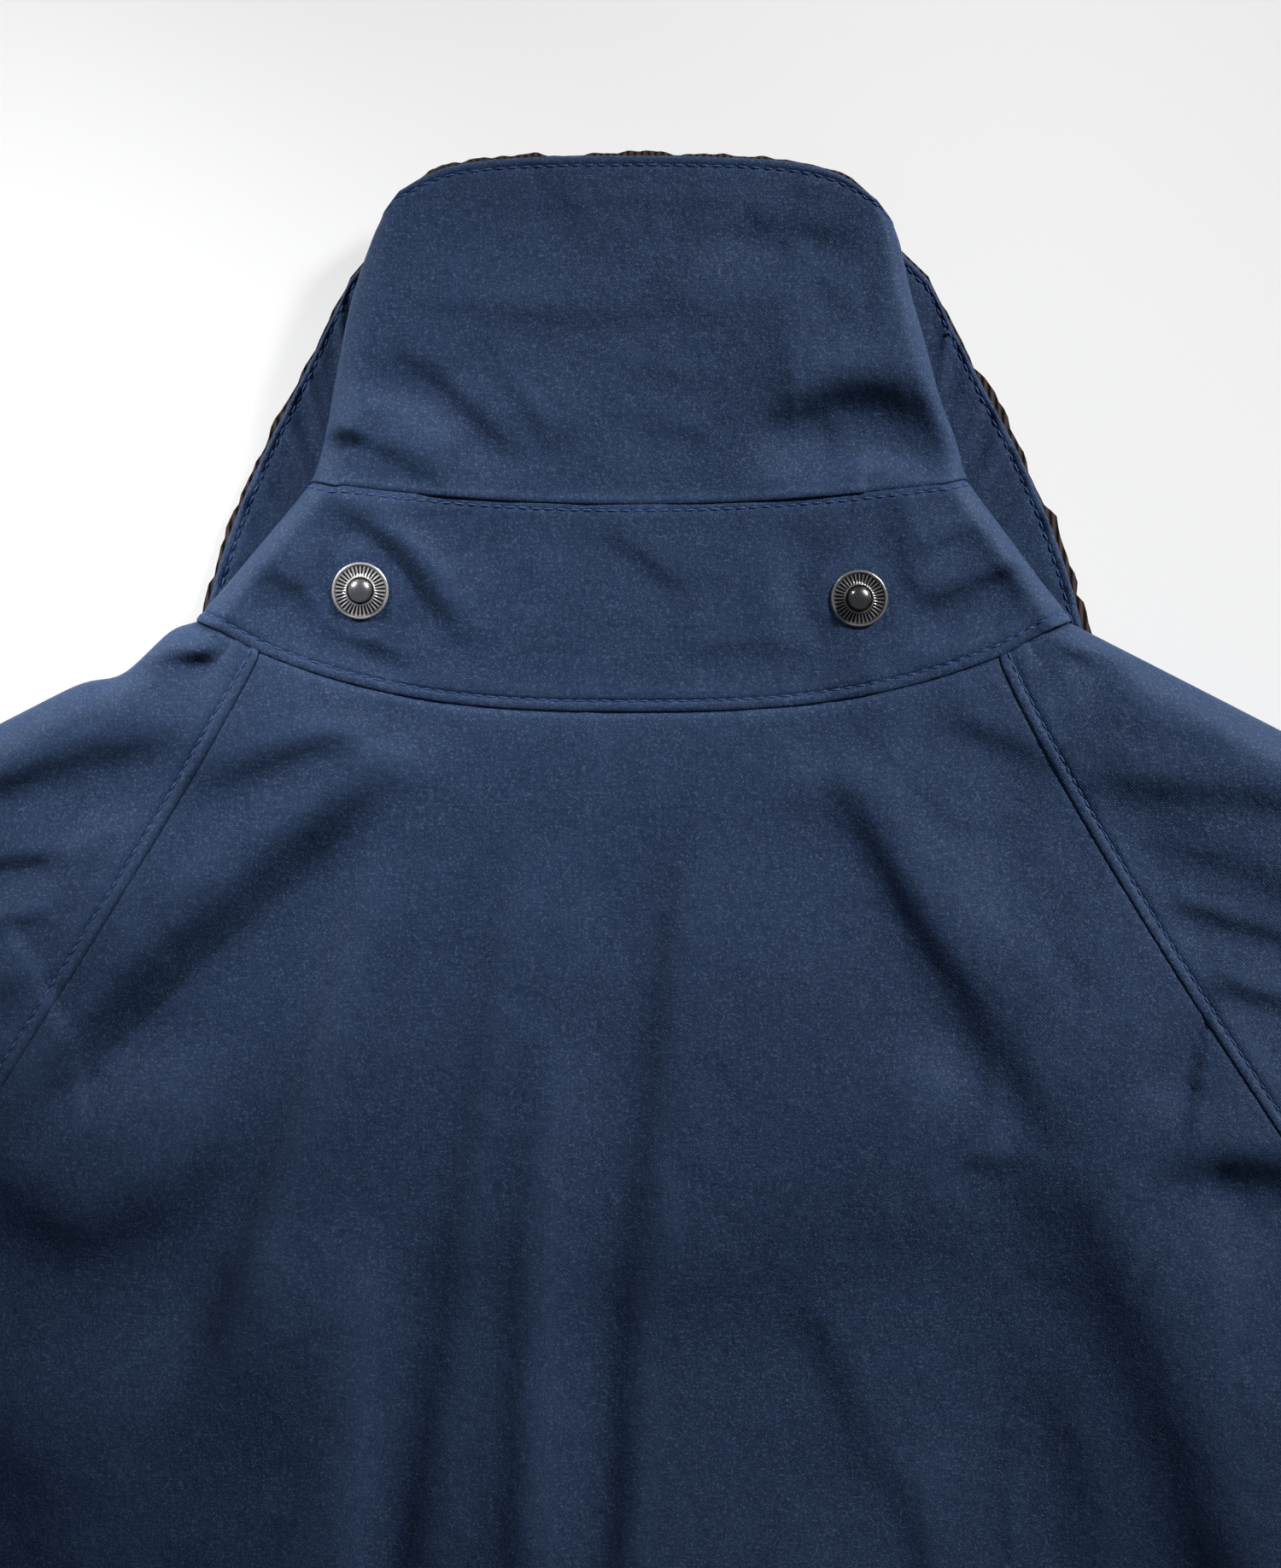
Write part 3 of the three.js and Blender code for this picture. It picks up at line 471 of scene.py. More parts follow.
# A stitch from end to end: place as a share of its length, share of the thread's radius, lift in mm.
STITCH_SHAPE = ((-0.5, 0.25, -0.12), (-0.36, 0.9, 0.1), (0, 1.0, 0.2), (0.36, 0.9, 0.1), (0.5, 0.25, -0.12))
STITCH_LENGTH, STITCH_SLANT, STITCH_SIDES = (2.15, 2.45), 0.05, 6


def path_on(grid, where):
    """Part of a grid as a path for stitches: its points and their normals."""
    return grid[where], grid_normals(grid)[where]


def thread(name, paths):
    """Stitches along paths of surface points and their normals, each a short rounded thread."""
    vertices, faces = [], []
    sides = STITCH_SIDES
    ring = np.linspace(0, 2 * np.pi, sides, endpoint=False)
    for points, normals in paths:
        lengths = lengths_along(points)
        places = np.arange(STITCH / 2, lengths[-1] - STITCH / 2, STITCH)
        centres, aheads = point_at(places, lengths, points), point_at(places + 0.8, lengths, points)
        for centre, ahead, normal in zip(centres, aheads, point_at(places, lengths, normals)):
            along = ahead - centre
            along /= np.linalg.norm(along)
            normal -= along * normal.dot(along)
            normal /= np.linalg.norm(normal)
            across = np.cross(normal, along)
            along = along + across * rng.normal(0, STITCH_SLANT)
            size = rng.uniform(*STITCH_LENGTH)
            base = len(vertices)
            for place, girth, lift in STITCH_SHAPE:
                middle = centre + along * place * size + normal * (lift + 0.02)
                for a in ring:
                    offset = across * math.cos(a) + normal * math.sin(a) * 0.8
                    vertices.append(middle + offset * THREAD_RADIUS * girth)
            for k in range(len(STITCH_SHAPE) - 1):
                for j in range(sides):
                    a, b = base + sides * k + j, base + sides * k + (j + 1) % sides
                    faces.append((a, a + sides, b + sides, b))
            for end in (0, len(STITCH_SHAPE) - 1):
                e = [base + sides * end + j for j in range(sides)]
                e = e if end == 0 else e[::-1]
                faces += [(e[0], e[1], e[2], e[3]), (e[0], e[3], e[4], e[5])]
    new_piece(name, vertices, faces, THREAD)


def puckers(s, seed):
    """Small pulls of the cloth along a seam."""
    local = np.random.default_rng(seed)
    total = np.zeros(np.shape(s))
    for wave in (3.4, 4.7, 6.3, 9.5, 14.0):
        total += np.sin(2 * np.pi * s / wave + local.uniform(0, 6.3)) * local.uniform(0.5, 1)
    slow = 0.6 + 0.4 * np.sin(2 * np.pi * s / 31 + local.uniform(0, 6.3))
    return total / 3 * slow


def pulled(s, seed, size, distance, middle=0.0, spread=5.0, start=-1.0):
    """Puckers of a size in mm that begin at start and die away from the middle of a seam."""
    return size * puckers(s, seed) * bell(distance, middle, spread) * (distance > start)


# Seam profiles: distances from the seam line, then the heights there, in mm. Stitches lie in a groove.
LAP = (
    [-0.6, -0.45, -0.1, 0.4, 1.0, 1.6, 2.0, 2.35, 2.7, 3.3, 4.5, 6.5, 9],
    [-0.1, 0.14, 0.3, 0.38, 0.4, 0.3, 0.08, -0.14, 0.06, 0.24, 0.26, 0.16, 0],
)
UNDERLAP = ([0, 0.4, 1.0, 1.8, 3.0], [-0.2, -0.1, -0.02, 0, 0])
RIDGE = ([-0.5, -0.3, 0, 0.6, 1.1, 1.5, 2.2, 3.5], [0.0, 0.16, 0.28, 0.36, 0.3, 0.16, 0.08, 0])
BELOW_RIDGE = (
    [0, 0.4, 0.9, 1.25, 1.5, 1.8, 2.4, 3.4, 5.0],
    [-0.2, -0.12, 0.0, -0.04, -0.14, -0.02, 0.08, 0.08, 0],
)
FREE_EDGE = (
    [0, 0.15, 0.4, 0.8, 1.4, 2.0, 2.25, 2.6, 3.4, 5.0, 7.5],
    [-0.4, -0.06, 0.18, 0.32, 0.28, 0.05, -0.1, 0.0, 0.12, 0.08, 0],
)
HEM_FOLD = (
    [0, 0.3, 1.0, 16.5, 17.6, 18.0, 18.4, 19.5, 24],
    [-0.3, 0.2, 0.35, 0.3, 0.1, -0.1, 0.05, 0.1, 0],
)
LAP_STITCH, RIDGE_STITCH, EDGE_STITCH, HEM_STITCH = 2.35, 1.5, 2.25, 18.0  # the grooves' distances


def profile(table, distance):
    return np.interp(distance, table[0], table[1], left=table[1][0], right=0)


coarse = 1
# Shares of an edge from row to row: the upper raglan seam up to its end, below it, sides and sleeves.
UPPER_END, UPPER_STEP, LOWER_STEP, SIDE_STEP, SLEEVE_STEP = 0.66, 0.0052, 0.014, 0.0145, 0.014


def dense(low, high, step):
    count = max(2, int(round(abs(high - low) / (step * coarse))))
    return np.linspace(low, high, count + 1)


def row_places():
    """Shares of the raglan seam for the rows of the back, fronts and sleeves."""
    return np.concatenate([dense(0, UPPER_END, UPPER_STEP), dense(UPPER_END, 1, LOWER_STEP)[1:]])


def beyond_armpit(end, step):
    """The edge from the armpit to end: shares of the way, dense at the turned hem, and points."""
    near = 1 - np.array(HEM_FOLD[0])[::-1] / np.linalg.norm(end - ARMPIT)
    share = np.concatenate([dense(0, near[0], step)[1:-1], near])
    return share, ARMPIT + (end - ARMPIT) * share[:, None]


def meet_at_edge(x, y, z, first_row, gaps):
    """Columns that end at the height of the outer edge from first_row on, each a gap above or below it."""
    for column, gap in gaps.items():
        z[first_row:, column] = edge_height(x[first_row:, column], y[first_row:, column]) + gap


# Materials.


class Maker:
    """A material under way, with short names for the few node kinds that the materials use."""

    def __init__(self, name):
        self.material = bpy.data.materials.new(name)
        self.material.use_nodes = True
        self.tree = self.material.node_tree
        self.place = self.tree.nodes.new("ShaderNodeTexCoord").outputs["Object"]

    def feed(self, node, inputs):
        """Give a node's inputs their values, or link them where the value is another node's output."""
        for key, value in inputs.items():
            if isinstance(value, bpy.types.NodeSocket):
                self.tree.links.new(value, node.inputs[key])
            elif value is not None:
                node.inputs[key].default_value = value

    def add(self, kind, inputs, output):
        node = self.tree.nodes.new(kind)
        self.feed(node, inputs)
        return node.outputs[output]

    def done(self, color, roughness, normal, others):
        inputs = {"Base Color": color, "Roughness": roughness, "Normal": normal, **others}
        self.feed(self.tree.nodes["Principled BSDF"], inputs)
        return self.material

    def stretched(self, stretch, turn=0.0):
        if stretch is None and not turn:
            return self.place
        inputs = {"Scale": stretch or (1, 1, 1), "Rotation": (0, 0, turn), "Vector": self.place}
        return self.add("ShaderNodeMapping", inputs, "Vector")

    def noise(self, scale, detail, roughness, stretch=None):
        place = self.stretched(stretch)
        inputs = {"Scale": scale, "Detail": detail, "Roughness": roughness, "Vector": place}
        return self.add("ShaderNodeTexNoise", inputs, "Fac")

    def wave(self, scale, direction, turn):
        node = self.tree.nodes.new("ShaderNodeTexWave")
        node.bands_direction = direction
        vector = self.stretched(None, turn)
        self.feed(node, {"Scale": scale, "Distortion": 0.6, "Detail Scale": 2.0, "Vector": vector})
        return node.outputs["Fac"]

    def ramp(self, value, low, high, to_low=0.0, to_high=1.0):
        inputs = {"Value": value, "From Min": low, "From Max": high, "To Min": to_low, "To Max": to_high}
        return self.add("ShaderNodeMapRange", inputs, "Result")

    def math(self, kind, a, b):
        node = self.tree.nodes.new("ShaderNodeMath")
        node.operation = kind
        self.feed(node, {0: a, 1: b})
        return node.outputs["Value"]

    def mix(self, share, a, b):
        node = self.tree.nodes.new("ShaderNodeMix")
        node.data_type = "RGBA"
        a, b = ((*color, 1) if isinstance(color, tuple) else color for color in (a, b))
        self.feed(node, {"Factor": share, "A": a, "B": b})
        return node.outputs["Result"]

    def layer(self, color, share, strength, tint):
        return self.mix(self.math("MULTIPLY", share, strength), color, tint)

    def paling_and_painted_shade(self):
        node = self.tree.nodes.new("ShaderNodeAttribute")
        node.attribute_name = "paling_and_painted_shade"
        return node.outputs["Fac"]

    def bump(self, height, strength, distance, below=None):
        inputs = {"Strength": strength, "Distance": distance, "Height": height, "Normal": below}
        return self.add("ShaderNodeBump", inputs, "Normal")


def waxed_cotton():
    m = Maker("waxed_cotton_navy")
    cloud = m.ramp(m.noise(38, 4, 0.6), 0.3, 0.7)
    blotch = m.ramp(m.noise(190, 3, 0.6), 0.3, 0.7)
    grain = m.ramp(m.noise(1600, 3, 0.8), 0.42, 0.6)
    speck = m.ramp(m.noise(1800, 2, 0.6), 0.54, 0.66)
    streak = m.ramp(m.noise(1700, 2, 0.5, (1, 0.16, 1)), 0.35, 0.7)
    cross = m.ramp(m.noise(1700, 2, 0.5, (0.16, 1, 1)), 0.35, 0.7)
    weave = m.math("MULTIPLY", m.wave(580, "X", 0.78), m.wave(580, "Y", 0.78))
    color = m.mix(cloud, (0.0105, 0.0245, 0.0635), (0.0145, 0.0315, 0.079))
    color = m.layer(color, blotch, 0.3, (0.019, 0.041, 0.097))
    color = m.layer(color, grain, 0.6, (0.024, 0.046, 0.1))
    color = m.layer(color, weave, 0.7, (0.037, 0.065, 0.126))
    color = m.layer(color, streak, 0.42, (0.004, 0.01, 0.031))
    color = m.layer(color, cross, 0.36, (0.004, 0.01, 0.031))
    color = m.layer(color, speck, 0.6, (0.07, 0.1, 0.16))
    # raised cloth painted paler
    color = m.layer(color, m.paling_and_painted_shade(), 0.12, (0.05, 0.088, 0.17))
    normal = m.bump(m.noise(150, 3, 0.55), 0.35, 0.0012)
    normal = m.bump(m.noise(1250, 2, 0.6), 0.5, 0.00025, normal)
    normal = m.bump(weave, 0.4, 0.00015, normal)
    sheen = {"Sheen Weight": 0.03, "Sheen Roughness": 0.45, "Sheen Tint": (0.45, 0.6, 0.9, 1)}
    return m.done(color, m.ramp(blotch, 0, 1, 0.56, 0.68), normal, {"Specular IOR Level": 0.12, **sheen})


def navy_thread():
    m = Maker("thread_navy")
    twist = m.wave(1500, "X", 0.6)
    color = m.mix(twist, (0.014, 0.042, 0.13), (0.034, 0.08, 0.2))
    return m.done(color, 0.6, m.bump(twist, 0.4, 0.0001), {"Specular IOR Level": 0.2})


def corduroy():
    m = Maker("corduroy_brown")
    wale = m.wave(195, "X", 0.0)
    pile = m.noise(2200, 2, 0.7)
    color = m.mix(m.ramp(wale, 0.2, 0.8), (0.006, 0.003, 0.003), (0.028, 0.013, 0.01))
    color = m.layer(color, pile, 0.4, (0.055, 0.026, 0.019))
    normal = m.bump(pile, 0.6, 0.0004, m.bump(wale, 0.8, 0.0007))
    return m.done(color, 0.95, normal, {"Sheen Weight": 0.35, "Sheen Tint": (0.7, 0.5, 0.42, 1)})


def metal(name, dark, bright, rough):
    """Tarnished metal: the attribute from 0 to 1 paints shade into the grooves, and from 1 to 2 it polishes
    the ball.
    """
    m = Maker(name)
    tarnish = m.ramp(m.noise(900, 4, 0.6), 0.35, 0.75)
    paling_and_painted_shade = m.paling_and_painted_shade()
    color = m.mix(tarnish, bright, tuple(0.8 * c for c in bright))
    # painted shade in the grooves and steps; none on the polished ball
    color = m.mix(m.math("MULTIPLY", paling_and_painted_shade, m.math("SUBTRACT", 2.0, paling_and_painted_shade)), color, dark)
    normal = m.bump(m.noise(3000, 2, 0.5), 0.1, 0.00005)
    return m.done(color, m.ramp(paling_and_painted_shade, 1, 2, rough, 0.22), normal, {"Metallic": m.ramp(paling_and_painted_shade, 1, 2, 0.7, 1.0)})


# Each look is a material and its slot.
NAVY = (waxed_cotton(), "waxed_cotton")
THREAD = (navy_thread(), "waxed_cotton")
BROWN = (corduroy(), "corduroy")
# The first colour of each metal is the painted shade of its grooves and steps.
BRIGHT = (metal("stud_bright_metal", (0.02, 0.02, 0.024), (0.8, 0.78, 0.75), 0.24), "bright_metal")
DARK = (metal("stud_dark_metal", (0.012, 0.012, 0.014), (0.33, 0.32, 0.31), 0.26), "dark_metal")


# Back.

BACK_NEAR = np.array([0, 0.4, 1.0, 1.8, 3.0, 4.5, 6, 8, 10, 12])  # columns beside the raglan seam
BACK_NARROW, BACK_COLUMNS = 170, 180  # the width below which they draw together, and the columns between


def back_grid():
    places = row_places()
    lower, side = beyond_armpit(HEM_SIDE, SIDE_STEP)
    ends = [np.vstack([raglan_point(RAGLAN[s], places, -SEAM_GAP), side]) * [s, 1] for s in (-1, 1)]
    share = np.concatenate([1 - places, np.zeros(len(lower))])
    rows = []
    for (lx, ly), (rx, ry), s in zip(*ends, share):
        width = rx - lx
        near = BACK_NEAR * min(1, width / BACK_NARROW)
        middle = dense(near[-1], width - near[-1], (width - 2 * near[-1]) / BACK_COLUMNS)[1:-1]
        x = lx + np.concatenate([near, middle, width - near[::-1]])
        curve = s * neck_y(x * RAGLAN[1][0] / rx)
        u = (x - lx) / width
        y = lerp(ly, ry, u) + curve - lerp(curve[0], curve[-1], u) - SEAM_GAP
        rows.append(np.stack([x, y], -1))
    return np.array(rows), len(places)


def hem_relief(y):
    return profile(HEM_FOLD, y - HEM_SIDE[1])


plan, seam_rows = back_grid()
x, y = plan[..., 0], plan[..., 1]
z = top_height(x, y)
distance = np.minimum(x - x[:, :1], x[:, -1:] - x)
seam = lengths_along(plan[:, 0])[:, None]
lapped = (np.arange(len(plan)) < seam_rows)[:, None]
z += (profile(UNDERLAP, distance) + pulled(seam, 3, 0.1, distance)) * lapped
from_neck = plan[0, :, 1][None, :] - y
z += profile(UNDERLAP, from_neck) + pulled(x, 5, 0.09, from_neck)
z += hem_relief(y)
meet_at_edge(x, y, z, seam_rows, {0: SEAM_GAP, -1: SEAM_GAP})
back = np.dstack([x, y, z])[:, ::-1]
back_piece = wall("back_cloth", back, SHELL, NAVY)
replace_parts(back_piece, "back")
hem_row = len(back) - 1 - HEM_FOLD[0].index(HEM_STITCH)
hem_path = path_on(back, hem_row)


# Sleeves.


def sleeve_plan(side):
    places = row_places()
    lower, inner_edge = beyond_armpit(CUFF_INNER, SLEEVE_STEP)
    seam_top = np.vstack([raglan_point(RAGLAN[side], places), inner_edge])
    seam_bottom = np.vstack([raglan_point(FRONT_RAGLAN, places, SEAM_GAP), inner_edge])
    outer = np.vstack([overarm(ARMPIT_LENGTH * places), overarm(lerp(ARMPIT_LENGTH, SLEEVE_LENGTH, lower))])
    return seam_top, seam_bottom, outer, len(places), lower


TURN = 1 - np.cos(np.linspace(0, np.pi / 2, 9))  # plan distances round a rolled edge of radius 1
TOP_COLUMNS, UNDER_COLUMNS = 56, 24
LAP_ROOM = 24  # the lap draws together where the sleeve is narrower than this
CLOSED_NEAR = 12  # below the armpit the lap's columns are spread over this width
ROLL_SHARE = 0.3  # the most of a narrow sleeve that its rolled edge takes
STITCH_SINK = 1.3  # half width of the groove where stitches run on the underside
STEP_FADE = 9  # how far in from the outline the shoulder's step is felt


def shoulder_step(across):
    """The left shoulder's outline beside the neck: a small hump, then a dip."""
    return 1.4 * bell(across, 108, 4.5) - 3.0 * bell(across, 120.5, 6.5)


def sleeve_row(a, b, c, closed):
    """A row of points from a on the back seam, round c on the outer edge, to b on the front seam."""
    reach = np.linalg.norm(c - a)
    under = np.linalg.norm(c - b)
    near = np.array(LAP[0]) * min(1, reach / LAP_ROOM)
    if closed:
        near = near - near[0]
        near = near * CLOSED_NEAR / near[-1]
    roll = min(ROLL_TOP, ROLL_SHARE * reach)
    middle = dense(near[-1], reach - roll, (reach - roll - near[-1]) / TOP_COLUMNS)[1:-1]
    top = np.concatenate([near, middle, reach - roll * TURN[::-1]])
    roll = min(ROLL_BOTTOM, ROLL_SHARE * under)
    middle = dense(under - roll, roll, (under - 2 * roll) / UNDER_COLUMNS)[1:-1]
    low = np.concatenate([under - roll * TURN[2::2], middle, roll * TURN[::-2]])
    p = np.concatenate([a + np.outer(top / reach, c - a), b + np.outer(low / under, c - b)])
    from_seam = np.concatenate([near, np.full(len(p) - len(near), FAR)])
    return np.column_stack([p, from_seam]), len(top)


def sleeve_grid(side):
    seam_top, seam_bottom, outer, lapped, lower = sleeve_plan(side)
    rows = [sleeve_row(*ends, i >= lapped) for i, ends in enumerate(zip(seam_top, seam_bottom, outer))]
    tops = rows[0][1]
    data = np.array([row for row, _ in rows])
    x, y, u = data[..., 0] * side, data[..., 1], data[..., 2]
    z = np.empty(x.shape)
    z[:, :tops] = top_height(x[:, :tops], y[:, :tops])
    z[:, tops:] = bottom_height(x[:, tops:], y[:, tops:])
    is_lap = (np.arange(len(data)) < lapped)[:, None]
    z += is_lap * profile(LAP, u)
    z += is_lap * pulled(lengths_along(seam_top)[:, None], 11 + side, 0.13, u, 2.3, start=2.2)
    meet_at_edge(x, y, z, lapped, {0: SEAM_GAP, -1: -SEAM_GAP})
    # the cuff's turned hem
    length = np.linalg.norm(CUFF_INNER - ARMPIT)
    hem = np.concatenate([np.full(lapped, FAR), (1 - lower) * length])[:, None]
    on_top = (np.arange(x.shape[1]) < tops)[None, :]
    sunk = CLEAR_OF_FLOOR * bell(hem, HEM_STITCH, STITCH_SINK)
    z += np.where(on_top, profile(HEM_FOLD, hem), sunk) * rounded(edge_distance(x, y), HEM_ROLL)
    # under the stand's lap at the neck
    from_neck = np.linalg.norm(data[..., :2] - data[:1, :, :2], axis=2)
    z[:, :tops] += profile(UNDERLAP, from_neck[:, :tops])
    if side < 0:
        y = y + shoulder_step(-x) * np.exp(-edge_distance(x, y) / STEP_FADE)
    grid = np.dstack([x, y, z])
    return (grid[:, ::-1] if side > 0 else grid), lapped


sleeves = {}
for side, word in ((-1, "left"), (1, "right")):
    grid, lapped = sleeve_grid(side)
    sleeves[side] = wall(f"sleeve_{word}_cloth", grid, SHELL, NAVY)
    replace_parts(sleeves[side], f"sleeve_{word}")
    column = LAP[0].index(LAP_STITCH)
    column = column if side < 0 else grid.shape[1] - 1 - column
    cuff_row = len(grid) - 1 - HEM_FOLD[0].index(HEM_STITCH)
    thread(f"stitches_sleeve_{word}", [path_on(grid, np.s_[:lapped, column]), path_on(grid, cuff_row)])


# Fronts.

FRONT_NECK = spline([(92, -18), (81, -35), (60, -54), (36, -68), (0, -76), (-OVERLAP, -77)], 10)


def front_neck_y(x):
    return np.interp(x, FRONT_NECK[::-1, 0], FRONT_NECK[::-1, 1])


CLOSURE = OVERLAP + 1  # the fronts lie over each other up to here
FRONT_RAISE, RAISE_RUN = 3.4, 16  # the right front rises where it lies on the left one
FRONT_ROLL, UNDER_RELIEF = 0.1, 0.3
FRONT_COLUMNS, PLACKET_STEP = 30, 3
PLACKET_SHELL = 2.6


def front_grid(left):
    places = row_places()[::2]
    lower, side = beyond_armpit(HEM_SIDE, SIDE_STEP)
    side = np.vstack([raglan_point(FRONT_RAGLAN, places, -SEAM_GAP), side])
    neck = np.concatenate([1 - places, np.zeros(len(lower))])
    rows = []
    for (sx, sy), n in zip(side, neck):
        roll = min(ROLL_BOTTOM, FRONT_ROLL * (sx + OVERLAP))
        start = sx - roll
        x = np.concatenate(
            [
                sx - roll * TURN[::2],
                dense(start, PLACKET_EDGE, (start - PLACKET_EDGE) / FRONT_COLUMNS)[1:],
                dense(PLACKET_EDGE, PLACKET_STEP - OVERLAP, PLACKET_STEP)[1:],
                np.array([EDGE_STITCH, 1.4, 0.8, 0.3, 0]) - OVERLAP,
            ]
        )
        scaled = np.where(x < 0, x, x * FRONT_RAGLAN[0] / sx)
        y = sy + n * (front_neck_y(scaled) - FRONT_RAGLAN[1]) - (2 * SEAM_GAP if n == 1 else 0)
        rows.append(np.stack([x, y], -1))
    plan = np.array(rows)
    x, y = plan[..., 0], plan[..., 1]
    z = bottom_height(x, y)
    meet_at_edge(x, y, z, np.argmin(neck), {0: -SEAM_GAP})
    if not left:
        z += FRONT_RAISE * smooth((CLOSURE + RAISE_RUN - x) / RAISE_RUN)
    z -= hem_relief(y) * UNDER_RELIEF * rounded(edge_distance(x, y), HEM_ROLL)
    z = np.maximum(z, 0.0) + CLEAR_OF_FLOOR * bell(x + OVERLAP, EDGE_STITCH, STITCH_SINK)
    grid = np.dstack([-x if left else x, y, z])
    return grid if left else grid[:, ::-1]


front_stitches = []
for word in ("left", "right"):
    grid = front_grid(word == "left")
    placket = np.abs(grid[..., 0]) < CLOSURE
    depth = np.where(placket, PLACKET_SHELL, SHELL)[..., None] if word == "left" else SHELL
    piece = wall(f"front_{word}_cloth", grid, depth, NAVY)
    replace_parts(piece, f"front_{word}")
    edge = grid.shape[1] - 5 if word == "left" else 4
    front_stitches.append(path_on(grid, np.s_[:, edge]))
thread("stitches_fronts", front_stitches)
thread("stitches_hem", [hem_path])


# Collar leaf and its facing. Each column runs from the stand's seam to the free edge.

SIDE_FOLD = {
    -1: spline([(75.4, 53.8), (72.6, 64), (70.0, 78.4), (66.4, 96.4), (61.5, 111), (58.6, 117)], 8),
    1: spline([(78.0, 54.4), (75.8, 63.4), (72.2, 73), (68.6, 86.4), (65.0, 99), (62.6, 110), (60.6, 115)], 8),
}
HIDDEN_FOLD = ((61, 46), (51.5, 118))
WING_WIDER = {-1: 1.0, 1: 1.04}
# Stations round the folded ends: x and y at the seam, then at the free edge.
LEAF_WING = np.array(
    [(65, 38, 67, 102), (65, 28, 77.3, 81), (63, 17, 87, 62), (59, 4, 95.4, 42.4)]
    + [(52, -8, 102, 20), (41, -20, 107, -8), (28, -30, 104, -44)]
)
SEAM_REACH, EDGE_REACH = 68, 51.5
FOLD_RUN = np.array([-17.0, 65.0])  # the direction of the collar's folded sides
LEAF_SHELL, FACING_SHELL, FACING_DEPTH = 0.8, 1.35, 1.2
LEAF_COLUMNS, LEAF_ROWS = 66, 56
FOLD_CORNER = 6  # how far the free edge rises as it goes round the fold


def fold_point(side, t):
    line = SIDE_FOLD[side]
    return point_at(t, np.linspace(0, 1, len(line)), line)


def turned(points, run, t, high, low, angle, way, corner):
    """Points at an angle on a round fold between two heights: 90 is its top and -90 its bottom."""
    out = np.array([run[1], -run[0]]) / np.linalg.norm(run) * way
    radius = (high - low) / 2 + 0 * t
    a = math.radians(angle)
    p = points - out * (radius * (1 - math.cos(a)))[:, None]
    rise = corner * t**4 * (1 - math.cos(a)) * (a > 0)
    return np.column_stack([p[:, 0], p[:, 1] + rise, (high + low) / 2 + radius * math.sin(a)])


def flat_column(u, t):
    seam, edge = SEAM_REACH * u, EDGE_REACH * u
    start = (seam, stand_seam_y(seam) + SEAM_GAP, COLLAR_SEAM)
    return between(start, (edge, collar_top_y(edge), COLLAR_EDGE), t)


def fold_column(side, angle, t):
    high = lerp(COLLAR_SEAM, COLLAR_EDGE, t)
    return turned(fold_point(side, t), FOLD_RUN, t, high, COLLAR_MIDDLE, angle, 1, FOLD_CORNER)


def bridge_column(side, u, t):
    return lerp(flat_column(1.0, t), fold_column(side, 90, t), u)


def hidden_column(angle, t):
    run = np.subtract(HIDDEN_FOLD[1], HIDDEN_FOLD[0])
    return turned(between(*HIDDEN_FOLD, t), run, t, COLLAR_MIDDLE, COLLAR_WING, angle, -1, 0)


def wing_column(side, station, t):
    bx, by, ex, ey = station
    return between((bx, by, COLLAR_WING), (ex * WING_WIDER[side], ey, COLLAR_WING), t)


def leaf_columns(side):
    """Functions of t from the seam to the free edge, with how much of the folds each takes."""
    columns = [(partial(flat_column, u), 1.0) for u in dense(0, 1, 1 / LEAF_COLUMNS)]
    columns += [(partial(bridge_column, side, u), 1.0) for u in (0.25, 0.5, 0.75)]
    for angle in (90, 75, 60, 45, 30, 15, 0, -20, -45, -70, -90):
        columns.append((partial(fold_column, side, angle), max(0.0, math.sin(math.radians(angle)))))
    columns += [(partial(hidden_column, angle), 0.0) for angle in (90, 45, 0, -45, -90)]
    stations = spline(LEAF_WING, 10 // coarse)
    columns += [(partial(wing_column, side, station), 0.0) for station in stations]
    return columns


def leaf_grid(edge_extra=None):
    """The leaf's points, and each one's distances from the seam and from the free edge."""
    parts = []
    near = np.array(RIDGE[0])
    far = np.array(FREE_EDGE[0])[::-1]
    for side in (-1, 1):
        built = []
        for column, takes in leaf_columns(side):
            ends = column(np.array([0.0, 1.0]))
            length = np.linalg.norm(ends[1] - ends[0])
            extra = 0 if edge_extra is None else edge_extra(ends[1] * [side, 1, 1])
            low = near if edge_extra is None else near - near[0]
            middle = lerp(low[-1] / length, 1 - far[0] / length, dense(0, 1, 1 / LEAF_ROWS)[1:-1])
            t = np.concatenate([low / length, middle, 1 - (far - extra) / length])
            p = column(t)
            p[:, 0] *= side
            x, y = p[:, 0], p[:, 1]
            p[:, 2] += takes * (fold_height(x, y, LEAF_FOLDS) + fold_height(x, y, COLLAR_SMALL))
            built.append(np.column_stack([p, t * length, (1 - t) * length + extra]))
        parts.append(built)
    left, right = parts
    return np.array(left[:0:-1] + right).transpose(1, 0, 2)


RIPPLES = ((6.1, 0.18), (9.4, 0.3), (15.0, 0.38))  # the folded ends' waves: length and height
RIPPLE_REACH = 13

leaf_data = leaf_grid()
leaf, from_seam, from_edge = leaf_data[..., :3], leaf_data[..., 3], leaf_data[..., 4]
s_edge = lengths_along(leaf[-1])[None, :]
relief = profile(RIDGE, from_seam) + profile(FREE_EDGE, from_edge)
relief += pulled(s_edge, 21, 0.08, from_edge, 2.4, 4, 0.6)
relief += pulled(s_edge, 23, 0.08, from_seam, 1.6, 4, 1.2)
on_wing = smooth((6.5 - leaf[..., 2]) / 2.5)
ripple = sum(size * np.sin(2 * np.pi * s_edge / wave + wave) for wave, size in RIPPLES)
relief += on_wing * ripple * smooth(from_edge / 2) * bell(from_edge, 0, RIPPLE_REACH)
leaf = raised(leaf, relief)
leaf_piece = wall("collar_leaf_cloth", leaf, LEAF_SHELL, NAVY)
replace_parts(leaf_piece, "collar_leaf")
row = len(leaf) - 1 - FREE_EDGE[0].index(EDGE_STITCH)
thread("stitches_collar_edge", [path_on(leaf, row)])

